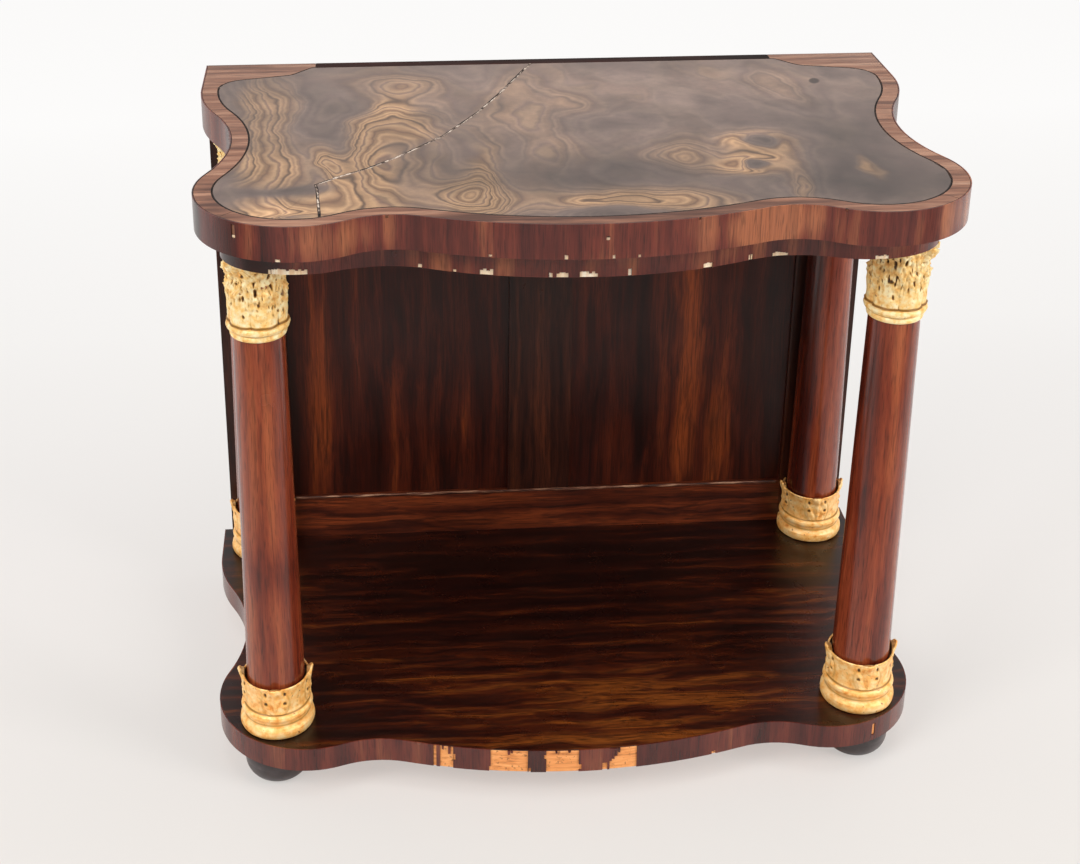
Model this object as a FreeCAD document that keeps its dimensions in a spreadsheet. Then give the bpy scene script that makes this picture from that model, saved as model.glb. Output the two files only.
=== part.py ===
"""Pier table: a serpentine rosewood table with a mended stone top, four columns with giltwood
capitals and bases, a panelled back, a shaped plinth and bun feet.

Frame: +Z up, +X to the right as seen from the front, the front faces -Y. The origin is on the
floor, in the middle of the table's width and of the depth of its top. Millimetres.
"""
import FreeCAD, Part
import math
import os

import Sketcher

Vector = FreeCAD.Vector

# --- driving dimensions -------------------------------------------------------------------

DIMENSIONS = [
    ("foot_height", 50, "bun foot, floor to plinth"),
    ("foot_floor_radius", 30, "flat that the bun foot stands on"),
    ("foot_belly_radius", 46, "widest part of the bun"),
    ("foot_belly_height", 28, "height of the widest part"),
    ("foot_neck_radius", 38, "top of the bun, under the plinth"),
    ("foot_dowel_radius", 9, "turned dowel of the foot"),
    ("foot_dowel_depth", 14, "dowel let into the plinth"),
    ("foot_side", 415, "foot centres from the middle of the table"),
    ("foot_front", 172, "front feet, forward of the origin"),
    ("foot_rear", 262, "rear feet, behind the origin"),
    ("veneer", 1.5, "saw-cut rosewood veneer"),
    ("back_depth", 322, "wall side of the table, behind the origin"),
    ("plinth_thickness", 36, "plinth with its veneers"),
    ("plinth_half_width", 517, "plinth, middle to side at the back"),
    ("plinth_shoulder_y", 236, "where the plinth's straight side ends"),
    ("plinth_shoulder_radius", 187, "convex arc after the straight side"),
    ("plinth_waist_half", 467, "narrowest half width of the side"),
    ("plinth_waist_radius", 243, "hollow arc of the side"),
    ("plinth_lobe_half", 498, "widest half width of the front lobe"),
    ("plinth_lobe_radius", 130, "rounded front corner"),
    ("plinth_hollow_depth", 228, "hollow beside the front bow, forward of the origin"),
    ("plinth_hollow_radius", 138, "arc of that hollow"),
    ("plinth_front_depth", 270, "middle of the plinth's bowed front"),
    ("top_thickness", 45, "top with its slab"),
    ("top_half_width", 502, "top, middle to side at the back"),
    ("top_shoulder_y", 209, "where the top's straight side ends"),
    ("top_shoulder_radius", 245, "convex arc after the straight side"),
    ("top_waist_half", 448, "narrowest half width of the side"),
    ("top_waist_radius", 255, "hollow arc of the side"),
    ("top_lobe_half", 485, "widest half width of the front lobe"),
    ("top_lobe_radius", 127, "rounded front corner"),
    ("top_hollow_depth", 277, "hollow beside the front bow, forward of the origin"),
    ("top_hollow_radius", 98, "arc of that hollow"),
    ("top_front_depth", 322, "middle of the top's bowed front"),
    ("slab_thickness", 18, "stone slab and the border that frames it"),
    ("border_width", 24, "cross-banded border round the slab"),
    ("back_strip_width", 20, "border strip behind the slab"),
    ("fin_start", 340, "where the slab's back edge turns forward"),
    ("fin_outer_radius", 14, "first turn of the slab's back corner"),
    ("fin_inner_radius", 30, "counter turn of the slab's back corner"),
    ("fin_corner_radius", 42, "last turn of the slab's back corner"),
    ("fin_dip_angle", 50, "fall of the slab's edge after its first turn, degrees"),
    ("fin_slope_angle", 14, "fall of the slab's edge along the corner piece, degrees"),
    ("corner_joint_y", 190, "joint between corner piece and side border"),
    ("apron_height", 39, "apron under the top"),
    ("apron_inset", 30, "apron face behind the top's edge"),
    ("apron_thickness", 24, "apron rail with its veneer"),
    ("apron_block_side", 326, "inner end of the front corner blocks"),
    ("apron_block_back", 88, "back end of the front corner blocks, forward of the origin"),
    ("rear_block_front", 224, "front face of the rear corner blocks, behind the origin"),
    ("rear_block_half_width", 496, "outer face of the rear corner blocks"),
    ("tenon_length", 20, "tenons of the apron rails"),
    ("tenon_thickness", 8, "tenons of the apron rails"),
    ("tenon_width", 24, "tenons of the apron rails"),
    ("column_side_front", 413, "front column axes from the middle"),
    ("column_front", 172, "front column axes, forward of the origin"),
    ("column_side_rear", 449.5, "rear column axes from the middle"),
    ("column_rear", 268, "rear column axes, behind the origin"),
    ("column_height", 720, "plinth to apron"),
    ("base_height", 82, "giltwood base of a column"),
    ("capital_height", 116, "giltwood capital of a column"),
    ("base_foot_radius", 52, "foot of the base, inside its torus"),
    ("collar_radius", 45, "neck of the base, over its torus rings"),
    ("leaf_tip_height", 6, "leaf tips above the rim of the base"),
    ("bell_radius", 35, "bell of the capital behind its leaves"),
    ("lower_leaf_tip", 64, "lower leaves of the capital, above its foot"),
    ("upper_leaf_tip", 102, "upper leaves of the capital, above its foot"),
    ("abacus_height", 12, "abacus on top of the capital"),
    ("abacus_half_width", 42, "abacus, middle to corner along a side"),
    ("abacus_corner_cut", 8, "corner of the abacus cut off"),
    ("abacus_side_radius", 118, "hollow side of the abacus"),
    ("shaft_foot_radius", 40, "foot of the tapered shaft"),
    ("shaft_head_radius", 33.7, "head of the tapered shaft"),
    ("shaft_seat", 10, "shaft let into the collar of its base"),
    ("spigot_radius", 15, "turned spigot through base and capital"),
    ("spigot_foot_depth", 16, "spigot let into the plinth"),
    ("spigot_head_depth", 28, "spigot let into the corner block"),
    ("frame_thickness", 30, "back frame, front to back"),
    ("stile_width", 100, "outer stiles of the back frame"),
    ("bottom_rail_height", 76, "bottom rail of the back frame"),
    ("top_rail_height", 72, "top rail of the back frame"),
    ("muntin_width", 100, "middle stile between the two panels"),
    ("panel_thickness", 10, "back panels"),
    ("panel_setback", 6, "panel face behind the frame face"),
    ("groove_depth", 8, "groove that holds the panels"),
    ("mortise_depth", 40, "tenons of the back rails in the stiles"),
    ("bead_size", 5, "half-round bead along the bottom rail"),
    ("bead_half_length", 396, "bead, middle to end"),
    ("rail_shoulder", 12, "tenons of the back rails, narrower than the rails"),
    ("stile_shoulder", 18, "stub tenons of the stiles, narrower than the stiles"),
    ("stile_tenon_length", 15, "stub tenons of the stiles in the plinth and the top"),
    ("glue_block_size", 20, "three-cornered blocks in the angle of top and back"),
    ("glue_block_pitch", 250, "spacing of those blocks"),
    ("screw_radius", 2.5, "iron screws"),
    ("screw_head_radius", 5, "countersunk heads"),
    ("frame_screw_length", 44, "screws through the stiles into the rear shafts"),
    ("lower_screw_height", 240, "those screws above the floor"),
    ("upper_screw_height", 600, "those screws above the floor"),
    ("top_screw_length", 54, "screws up through the apron into the top"),
    ("top_screw_inset", 22, "screw in a front block, from the block's inner end"),
    ("top_screw_block_y", 150, "screws in the front blocks, forward of the origin"),
]


class Size:
    """A length together with the spreadsheet expression that gives it."""

    def __init__(self, value, text=None):
        self.value = float(value)
        self.text = text or repr(float(value))

    def __float__(self):
        return self.value

    def __neg__(self):
        return Size(-self.value, f"-({self.text})")

    def __add__(self, other):
        other = size_of(other)
        return Size(self.value + other.value, f"({self.text} + {other.text})")

    def __sub__(self, other):
        other = size_of(other)
        return Size(self.value - other.value, f"({self.text} - {other.text})")

    def __mul__(self, other):
        other = size_of(other)
        return Size(self.value * other.value, f"({self.text} * {other.text})")

    __radd__ = __add__
    __rmul__ = __mul__

    def __rsub__(self, other):
        return size_of(other) - self


def size_of(number):
    return number if isinstance(number, Size) else Size(number)


class Sizes:
    """The spreadsheet's cells by name, each as a Size."""


doc = FreeCAD.newDocument("PierTable")
sheet = doc.addObject("Spreadsheet::Sheet", "Dimensions")
d = Sizes()
for row, (alias, number, note) in enumerate(DIMENSIONS, start=1):
    sheet.set(f"A{row}", alias)
    sheet.set(f"B{row}", str(number))
    sheet.set(f"C{row}", note)
    sheet.setAlias(f"B{row}", alias)
    setattr(d, alias, Size(number, f"Dimensions.{alias}"))
doc.recompute()

# heights of the stacked parts above the floor
plinth_bottom = d.foot_height
plinth_top = plinth_bottom + d.plinth_thickness
apron_bottom = plinth_top + d.column_height
board_bottom = apron_bottom + d.apron_height
slab_bottom = board_bottom + d.top_thickness - d.slab_thickness
table_top = board_bottom + d.top_thickness
frame_front = d.back_depth - d.frame_thickness
stile_inner = d.top_half_width - d.stile_width

kept = {}


def keep(label, feature):
    """Names a finished piece, so that it is written to its own file."""
    feature.Label = label
    kept[label] = feature
    return feature


# --- sketches -----------------------------------------------------------------------------

START, END, CENTRE = 1, 2, 3
ORIGIN = (-1, 1)
X_AXIS, Y_AXIS = -1, -2


def new_body(name, x=0, y=0, z=0):
    body = doc.addObject("PartDesign::Body", name)
    for axis, size in (("x", x), ("y", y), ("z", z)):
        if float(size):
            body.setExpression(f"Placement.Base.{axis}", size_of(size).text)
    return body


def origin_plane(body, role):
    return next(plane for plane in body.Origin.OriginFeatures if plane.Role == role)


def new_sketch(body, role, offset=0, turn=0):
    """A sketch on a plane of the body's origin, turned about its own upright axis, then moved out."""
    sketch = body.newObject("Sketcher::SketchObject", body.Name + "_sketch")
    sketch.AttachmentSupport = (origin_plane(body, role), [""])
    sketch.MapMode = "FlatFace"
    if turn:
        sketch.AttachmentOffset.Rotation = FreeCAD.Rotation(Vector(0, 1, 0), turn)
        offset = size_of(offset)
        sketch.setExpression("AttachmentOffset.Base.x", f"{offset.text} * sin({turn} deg)")
        sketch.setExpression("AttachmentOffset.Base.z", f"{offset.text} * cos({turn} deg)")
    elif float(offset):
        sketch.setExpression("AttachmentOffset.Base.z", size_of(offset).text)
    return sketch


def dimension(sketch, kind, *where):
    """Adds a dimensional constraint, whose last argument is a Size, and binds it."""
    size = size_of(where[-1])
    index = sketch.addConstraint(Sketcher.Constraint(kind, *where[:-1], size.value))
    name = f"size_{index}"
    sketch.renameConstraint(index, name)
    sketch.setExpression(f"Constraints.{name}", size.text)


def place_point(sketch, point, x=None, y=None):
    """Fixes a point's coordinates. Distances are always given as positive numbers."""
    for kind, axis, size in (("DistanceX", Y_AXIS, x), ("DistanceY", X_AXIS, y)):
        if size is None:
            continue
        size = size_of(size)
        if abs(size.value) < 1e-9:
            sketch.addConstraint(Sketcher.Constraint("PointOnObject", *point, axis))
        elif size.value > 0:
            dimension(sketch, kind, *ORIGIN, *point, size)
        else:
            dimension(sketch, kind, *point, *ORIGIN, -size)


class Edge:
    """A line or arc of a closed loop. turn is +1 for an arc that runs anticlockwise."""

    def __init__(self, start, end, centre=None, turn=0, smooth=True):
        self.start, self.end, self.centre = start, end, centre
        self.turn, self.smooth = turn, smooth

    def geometry(self):
        if self.centre is None:
            return Part.LineSegment(Vector(*self.start, 0), Vector(*self.end, 0))
        cx, cy = self.centre
        first, last = (self.start, self.end) if self.turn > 0 else (self.end, self.start)
        radius = math.dist(self.centre, self.start)
        a = math.atan2(first[1] - cy, first[0] - cx)
        b = math.atan2(last[1] - cy, last[0] - cx)
        if b <= a:
            b += 2 * math.pi
        circle = Part.Circle(Vector(cx, cy, 0), Vector(0, 0, 1), radius)
        return Part.ArcOfCircle(circle, a, b)

    def point(self, at_end):
        forward = self.turn >= 0
        return END if at_end == forward else START


def draw_loop(sketch, edges):
    """Draws the edges in order and joins each to the next, tangentially where it is smooth."""
    ids = [sketch.addGeometry(edge.geometry(), False) for edge in edges]
    for i, edge in enumerate(edges):
        j = (i + 1) % len(edges)
        here = (ids[i], edge.point(True))
        there = (ids[j], edges[j].point(False))
        kind = "Tangent" if edge.smooth else "Coincident"
        sketch.addConstraint(Sketcher.Constraint(kind, *here, *there))
    return ids


def arc_centre(start, end, radius):
    """Centre of the short arc, on the left of its direction for a positive radius."""
    (x0, y0), (x1, y1) = start, end
    chord = math.dist(start, end)
    rise = math.sqrt(max(radius * radius - chord * chord / 4, 0))
    side = 1 if radius > 0 else -1
    return ((x0 + x1) / 2 - side * rise * (y1 - y0) / chord,
            (y0 + y1) / 2 + side * rise * (x1 - x0) / chord)


def draw_profile(sketch, corners):
    """A closed outline from corners (x, y) or (x, y, radius of the arc to the next corner)."""
    places = [(float(c[0]), float(c[1])) for c in corners]
    edges = []
    for i, corner in enumerate(corners):
        start, end = places[i], places[(i + 1) % len(corners)]
        bulge = float(corner[2]) if len(corner) > 2 else 0
        centre = arc_centre(start, end, bulge) if bulge else None
        edges.append(Edge(start, end, centre, (bulge > 0) - (bulge < 0), smooth=False))
    ids = draw_loop(sketch, edges)
    for index, edge, corner in zip(ids, edges, corners):
        place_point(sketch, (index, edge.point(False)), corner[0], corner[1])
        if edge.turn:
            radius = size_of(corner[2])
            dimension(sketch, "Radius", index, radius if radius.value > 0 else -radius)
    return ids


# --- features -----------------------------------------------------------------------------

def pad(body, sketch, length):
    feature = body.newObject("PartDesign::Pad", body.Name + "_pad")
    feature.Profile = sketch
    feature.setExpression("Length", size_of(length).text)
    sketch.Visibility = False
    return feature


def revolve(body, sketch):
    feature = body.newObject("PartDesign::Revolution", body.Name + "_turning")
    feature.Profile = sketch
    feature.ReferenceAxis = (sketch, ["V_Axis"])
    feature.Angle = 360
    sketch.Visibility = False
    return feature


def carve_round(body, sketch, length, count):
    """Cuts a shape outwards from the sketch and repeats the cut round the body's axis."""
    pocket = body.newObject("PartDesign::Pocket", body.Name + "_cut")
    pocket.Profile = sketch
    pocket.setExpression("Length", size_of(length).text)
    pocket.Reversed = True
    sketch.Visibility = False
    pattern = body.newObject("PartDesign::PolarPattern", body.Name + "_pattern")
    pattern.Originals = [pocket]
    pattern.Axis = (origin_axis(body, "Z_Axis"), [""])
    pattern.Angle = 360
    pattern.Occurrences = count
    body.Tip = pattern
    return pattern


def origin_axis(body, role):
    return next(axis for axis in body.Origin.OriginFeatures if axis.Role == role)


def mirror_half(body, half):
    """Completes a piece that was drawn as its right half."""
    whole = body.newObject("PartDesign::Mirrored", body.Name + "_whole")
    whole.Originals = [half]
    whole.MirrorPlane = (origin_plane(body, "YZ_Plane"), [""])
    body.Tip = whole
    return whole


def box(name, x, y, z):
    """A Part::Box between two corners, each axis given as (low, high)."""
    solid = doc.addObject("Part::Box", name)
    for axis, side, (low, high) in zip("xyz", ("Length", "Width", "Height"), (x, y, z)):
        low, high = size_of(low), size_of(high)
        solid.setExpression(f"Placement.Base.{axis}", low.text)
        solid.setExpression(side, (high - low).text)
    return solid


def boolean(kind, name, base, tool):
    feature = doc.addObject(f"Part::{kind}", name)
    feature.Base, feature.Tool = base, tool
    base.Visibility = tool.Visibility = False
    return feature


def cut(name, base, *tools):
    for tool in tools:
        base = boolean("Cut", name, base, tool)
    return base


def common(name, base, *tools):
    for tool in tools:
        base = boolean("Common", name, base, tool)
    return base


def fuse(name, *pieces):
    feature = doc.addObject("Part::MultiFuse", name)
    feature.Shapes = list(pieces)
    feature.Refine = True
    return feature


def group(name, pieces):
    """Several separate solids that are handled as one item, such as a set of screws."""
    feature = doc.addObject("Part::Compound", name)
    feature.Links = list(pieces)
    return feature


# --- the serpentine plan ------------------------------------------------------------------

def plan_centres(plan):
    """Centres and radii of the plan's arcs on the right half, from the back to the front.

    The outline runs from the straight side into a convex shoulder, a hollow waist, the lobe
    over the front column, the hollow beside it and the bow in the middle of the front. Each
    arc is tangent to the next, and an inset outline keeps the same centres.
    """
    def size(name):
        return float(getattr(d, f"{plan}_{name}"))

    shoulder = (size("half_width") - size("shoulder_radius"), size("shoulder_y"))
    waist_x = size("waist_half") + size("waist_radius")
    reach = size("shoulder_radius") + size("waist_radius")
    waist = (waist_x, shoulder[1] - math.sqrt(reach**2 - (waist_x - shoulder[0])**2))
    lobe_x = size("lobe_half") - size("lobe_radius")
    reach = size("waist_radius") + size("lobe_radius")
    lobe = (lobe_x, waist[1] - math.sqrt(reach**2 - (waist_x - lobe_x)**2))
    hollow_y = -size("hollow_depth") - size("hollow_radius")
    reach = size("lobe_radius") + size("hollow_radius")
    hollow = (lobe_x - math.sqrt(reach**2 - (lobe[1] - hollow_y)**2), hollow_y)
    gap = -size("front_depth") - hollow_y
    bow_radius = (hollow[0]**2 + gap**2 - size("hollow_radius")**2) / (2 * (size("hollow_radius") - gap))
    bow = (0.0, bow_radius - size("front_depth"))
    return [(shoulder, size("shoulder_radius")), (waist, size("waist_radius")),
            (lobe, size("lobe_radius")), (hollow, size("hollow_radius")), (bow, bow_radius)]


def between(a, b, distance):
    """The point at a distance from a on the way to b."""
    share = distance / math.dist(a, b)
    return (a[0] + (b[0] - a[0]) * share, a[1] + (b[1] - a[1]) * share)


def front_edges(plan, inset, start):
    """Edges from the shoulder arc to the middle of the front, at an inset."""
    inset = float(inset)
    arcs = plan_centres(plan)
    turns = (-1, 1, -1, 1, -1)
    radii = [r + turn * inset for (_, r), turn in zip(arcs, turns)]
    joints = [start]
    for i in range(4):
        joints.append(between(arcs[i][0], arcs[i + 1][0], radii[i]))
    joints.append((0.0, inset - float(getattr(d, f"{plan}_front_depth"))))
    edges = [Edge(joints[i], joints[i + 1], arcs[i][0], turns[i]) for i in range(5)]
    edges[-1].smooth = False
    return edges


def size_front(sketch, ids, plan, inset):
    """Binds the five arcs of the front to the plan's cells."""
    def size(name):
        return getattr(d, f"{plan}_{name}")

    shoulder, waist, lobe, hollow, bow = ids
    dimension(sketch, "Radius", shoulder, size("shoulder_radius") - inset)
    dimension(sketch, "Radius", waist, size("waist_radius") + inset)
    dimension(sketch, "Radius", lobe, size("lobe_radius") - inset)
    dimension(sketch, "Radius", hollow, size("hollow_radius") + inset)
    place_point(sketch, (shoulder, CENTRE), y=size("shoulder_y"))
    place_point(sketch, (waist, CENTRE), x=size("waist_half") + size("waist_radius"))
    place_point(sketch, (lobe, CENTRE), x=size("lobe_half") - size("lobe_radius"))
    place_point(sketch, (hollow, CENTRE), y=-(size("hollow_depth") + size("hollow_radius")))
    place_point(sketch, (bow, CENTRE), x=0)
    place_point(sketch, (bow, START), x=0, y=-(size("front_depth") - inset))


def serpentine(name, plan, inset, back, bottom, height):
    """A board with the serpentine outline at an inset, square at its back."""
    body = new_body(name, z=bottom)
    sketch = new_sketch(body, "XY_Plane")
    inset = size_of(inset)
    side = getattr(d, f"{plan}_half_width") - inset
    shoulder_y = getattr(d, f"{plan}_shoulder_y")
    x, y, y_back = float(side), float(shoulder_y), float(back)
    edges = [Edge((0, y_back), (x, y_back), smooth=False), Edge((x, y_back), (x, y))]
    edges += front_edges(plan, inset, (x, y))
    edges.append(Edge(edges[-1].end, (0, y_back), smooth=False))
    ids = draw_loop(sketch, edges)
    sketch.addConstraint(Sketcher.Constraint("Horizontal", ids[0]))
    sketch.addConstraint(Sketcher.Constraint("Vertical", ids[1]))
    sketch.addConstraint(Sketcher.Constraint("Vertical", ids[-1]))
    place_point(sketch, (ids[1], START), x=side, y=back)
    size_front(sketch, ids[2:7], plan, inset)
    mirror_half(body, pad(body, sketch, height))
    return body


def slab_board(name, bottom, height):
    """The slab: the top's outline inside the border, with its two shaped back corners."""
    body = new_body(name, z=bottom)
    sketch = new_sketch(body, "XY_Plane")
    inset = d.border_width
    back = d.back_depth - d.back_strip_width
    shoulder, shoulder_radius = plan_centres("top")[0]
    dip, slope = math.radians(float(d.fin_dip_angle)), math.radians(float(d.fin_slope_angle))

    def along(centre, radius, angle):
        return (centre[0] + radius * math.sin(angle), centre[1] + radius * math.cos(angle))

    outer, inner, last = (float(r) for r in (d.fin_outer_radius, d.fin_inner_radius, d.fin_corner_radius))
    side = float(d.top_half_width - inset)
    first_centre = (float(d.fin_start), float(back) - outer)
    last_centre = (side - last, shoulder[1])
    # the counter turn touches the dip line and the slope line
    dip_point = along(first_centre, outer, dip)
    slope_point = along(last_centre, last, slope)
    towards_dip = along(dip_point, inner, dip)
    towards_slope = along(slope_point, inner, slope)
    dip_way, slope_way = (math.cos(dip), -math.sin(dip)), (math.cos(slope), -math.sin(slope))
    gap = (towards_slope[0] - towards_dip[0], towards_slope[1] - towards_dip[1])
    cross = dip_way[0] * slope_way[1] - dip_way[1] * slope_way[0]
    run = (gap[0] * slope_way[1] - gap[1] * slope_way[0]) / cross
    counter_centre = (towards_dip[0] + dip_way[0] * run, towards_dip[1] + dip_way[1] * run)
    dip_end = along(counter_centre, -inner, dip)
    slope_start = along(counter_centre, -inner, slope)
    edges = [
        Edge((0, float(back)), (float(d.fin_start), float(back))),
        Edge((float(d.fin_start), float(back)), dip_point, first_centre, -1),
        Edge(dip_point, dip_end),
        Edge(dip_end, slope_start, counter_centre, 1),
        Edge(slope_start, slope_point),
        Edge(slope_point, (side, shoulder[1]), last_centre, -1),
    ]
    edges += front_edges("top", inset, (side, shoulder[1]))
    edges.append(Edge(edges[-1].end, (0, float(back)), smooth=False))
    ids = draw_loop(sketch, edges)
    sketch.addConstraint(Sketcher.Constraint("Horizontal", ids[0]))
    sketch.addConstraint(Sketcher.Constraint("Vertical", ids[-1]))
    place_point(sketch, (ids[0], START), y=back)
    place_point(sketch, (ids[1], CENTRE), x=d.fin_start)
    dimension(sketch, "Radius", ids[1], d.fin_outer_radius)
    dimension(sketch, "Radius", ids[3], d.fin_inner_radius)
    dimension(sketch, "Radius", ids[5], d.fin_corner_radius)
    place_point(sketch, (ids[5], CENTRE), y=d.top_shoulder_y)
    for line, angle in ((ids[2], d.fin_dip_angle), (ids[4], d.fin_slope_angle)):
        index = sketch.addConstraint(
            Sketcher.Constraint("Angle", line, START, X_AXIS, START, math.radians(float(angle))))
        sketch.renameConstraint(index, f"fall_{index}")
        sketch.setExpression(f"Constraints.fall_{index}", f"{angle.text} * 1 deg")
    place_point(sketch, (ids[6], CENTRE), x=d.top_half_width - d.top_shoulder_radius)
    size_front(sketch, ids[6:11], "top", inset)
    mirror_half(body, pad(body, sketch, height))
    return body


def prism(name, corners, bottom, height):
    """An upright block with a straight-sided plan."""
    body = new_body(name, z=bottom)
    sketch = new_sketch(body, "XY_Plane")
    draw_profile(sketch, corners)
    pad(body, sketch, height)
    return body


# --- feet ---------------------------------------------------------------------------------

def bun_foot(label, x, y):
    """A squat ebonised bun, turned in one piece with the dowel that holds it."""
    body = new_body(label, x, y)
    sketch = new_sketch(body, "XZ_Plane")
    belly = d.foot_belly_height
    draw_profile(sketch, [
        (0, 0),
        (d.foot_floor_radius, 0, 30),
        (d.foot_belly_radius, belly, 26),
        (d.foot_neck_radius, d.foot_height),
        (d.foot_dowel_radius, d.foot_height),
        (d.foot_dowel_radius, d.foot_height + d.foot_dowel_depth),
        (0, d.foot_height + d.foot_dowel_depth),
    ])
    revolve(body, sketch)
    return keep(label, body)


FOOT_PLACES = {
    "front_left": (-d.foot_side, -d.foot_front),
    "front_right": (d.foot_side, -d.foot_front),
    "rear_left": (-d.foot_side, d.foot_rear),
    "rear_right": (d.foot_side, d.foot_rear),
}
feet = [bun_foot(f"foot_{place}", foot_x, foot_y) for place, (foot_x, foot_y) in FOOT_PLACES.items()]

# --- columns ------------------------------------------------------------------------------

COLUMN_PLACES = {
    "front_left": (-d.column_side_front, -d.column_front),
    "front_right": (d.column_side_front, -d.column_front),
    "rear_left": (-d.column_side_rear, d.column_rear),
    "rear_right": (d.column_side_rear, d.column_rear),
}
capital_bottom = apron_bottom - d.capital_height
shaft_foot = plinth_top + d.base_height - d.shaft_seat
LEAVES = 8


def column_base(name, x, y):
    """Turned and carved base: two torus rings and a collar that rises to four leaf tips."""
    body = new_body(name, x, y, plinth_top)
    sketch = new_sketch(body, "XZ_Plane")
    rim = d.base_height
    tip = rim + d.leaf_tip_height
    draw_profile(sketch, [
        (d.spigot_radius, 0),
        (d.base_foot_radius, 0, 18),
        (d.base_foot_radius - 1, 25),
        (d.base_foot_radius - 2, 28, 4.2),
        (d.base_foot_radius - 3, 36),
        (d.collar_radius, 39),
        (d.collar_radius + 0.5, 62),
        (d.collar_radius + 3.5, tip),
        (d.collar_radius - 0.5, tip),
        (d.shaft_foot_radius, rim),
        (d.shaft_foot_radius, rim - d.shaft_seat),
        (d.spigot_radius, rim - d.shaft_seat),
    ])
    revolve(body, sketch)
    # the rim is cut down between the tips of the four leaves
    notch = new_sketch(body, "XZ_Plane", turn=45)
    draw_profile(notch, [
        (-29, tip + 4),
        (-25, rim + 1),
        (-18, rim - 2),
        (18, rim - 2),
        (25, rim + 1),
        (29, tip + 4),
    ])
    carve_round(body, notch, 80, 4)
    return body


def leaf_ring(body, foot, tip, curl):
    """A ring of leaves in the round, before the gaps between them are cut."""
    sketch = new_sketch(body, "XZ_Plane")
    bell = d.bell_radius
    inside = bell - 3
    draw_profile(sketch, [
        (inside, foot),
        (bell + 2, foot),
        (bell + 4.5, tip - 14),
        (bell + curl, tip - 5),
        (bell + curl - 1.5, tip),
        (inside, tip - 4),
    ])
    revolve(body, sketch)


def leaf_gaps(body, foot, tip, turn):
    """Cuts the pointed gaps between eight leaves down to the bell."""
    sketch = new_sketch(body, "XZ_Plane", d.bell_radius, turn)
    half_pitch = math.pi * float(d.bell_radius) / LEAVES
    middle = (foot + tip) * 0.5
    draw_profile(sketch, [
        (0, foot + 7),
        (3, middle),
        (half_pitch - 3, tip + 1),
        (3 - half_pitch, tip + 1),
        (-3, middle),
    ])
    carve_round(body, sketch, 20, LEAVES)


def capital(name, x, y):
    """Carved Corinthian capital: necking, bell, two rows of leaves and a hollow-sided abacus."""
    body = new_body(name, x, y, capital_bottom)
    abacus_bottom = d.capital_height - d.abacus_height
    bell = new_sketch(body, "XZ_Plane")
    draw_profile(bell, [
        (d.spigot_radius, 0),
        (d.shaft_head_radius + 1.8, 0),
        (d.shaft_head_radius + 2.6, 8),
        (d.bell_radius + 1.6, 10, 5.1),
        (d.bell_radius + 1.6, 20),
        (d.bell_radius - 0.5, 24),
        (d.bell_radius + 1.5, abacus_bottom),
        (d.spigot_radius, abacus_bottom),
    ])
    revolve(body, bell)
    leaf_ring(body, d.lower_leaf_tip - 20, d.upper_leaf_tip, 9)
    leaf_gaps(body, d.lower_leaf_tip - 20, d.upper_leaf_tip, 22.5)
    leaf_ring(body, size_of(22), d.lower_leaf_tip, 6.5)
    leaf_gaps(body, size_of(22), d.lower_leaf_tip, 0)
    abacus = new_sketch(body, "XY_Plane", abacus_bottom)
    far, near = d.abacus_half_width, d.abacus_half_width - d.abacus_corner_cut
    hollow = -d.abacus_side_radius
    draw_profile(abacus, [
        (far, near),
        (near, far, hollow),
        (-near, far),
        (-far, near, hollow),
        (-far, -near),
        (-near, -far, hollow),
        (near, -far),
        (far, -near, hollow),
    ])
    circle = Part.Circle(Vector(0, 0, 0), Vector(0, 0, 1), float(d.spigot_radius))
    bore = abacus.addGeometry(circle, False)
    abacus.addConstraint(Sketcher.Constraint("Coincident", bore, CENTRE, *ORIGIN))
    dimension(abacus, "Radius", bore, d.spigot_radius)
    pad(body, abacus, d.abacus_height)
    return body


def shaft(name, x, y):
    """Tapered shaft with a spigot at each end for the base, the capital and the blocks."""
    body = new_body(name, x, y, shaft_foot)
    sketch = new_sketch(body, "XZ_Plane")
    head = capital_bottom - shaft_foot
    foot_end = -(d.base_height - d.shaft_seat) - d.spigot_foot_depth
    head_end = head + d.capital_height + d.spigot_head_depth
    draw_profile(sketch, [
        (0, foot_end),
        (d.spigot_radius, foot_end),
        (d.spigot_radius, 0),
        (d.shaft_foot_radius, 0),
        (d.shaft_foot_radius, d.shaft_seat),
        (d.shaft_head_radius, head),
        (d.spigot_radius, head),
        (d.spigot_radius, head_end),
        (0, head_end),
    ])
    revolve(body, sketch)
    return body


def screw(name, length, x, y, z, towards_front=False):
    """A countersunk iron screw whose head lies flush at the given point."""
    shank = doc.addObject("Part::Cylinder", name + "_shank")
    shank.setExpression("Radius", d.screw_radius.text)
    shank.setExpression("Height", length.text)
    head = doc.addObject("Part::Cone", name + "_head")
    head.setExpression("Radius1", d.screw_head_radius.text)
    head.setExpression("Radius2", d.screw_radius.text)
    head.setExpression("Height", d.screw_head_radius.text)
    for solid in (shank, head):
        if towards_front:
            solid.Placement.Rotation = FreeCAD.Rotation(Vector(1, 0, 0), 90)
        for axis, size in (("x", x), ("y", y), ("z", z)):
            solid.setExpression(f"Placement.Base.{axis}", size_of(size).text)
    return fuse(name, shank, head)


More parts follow.
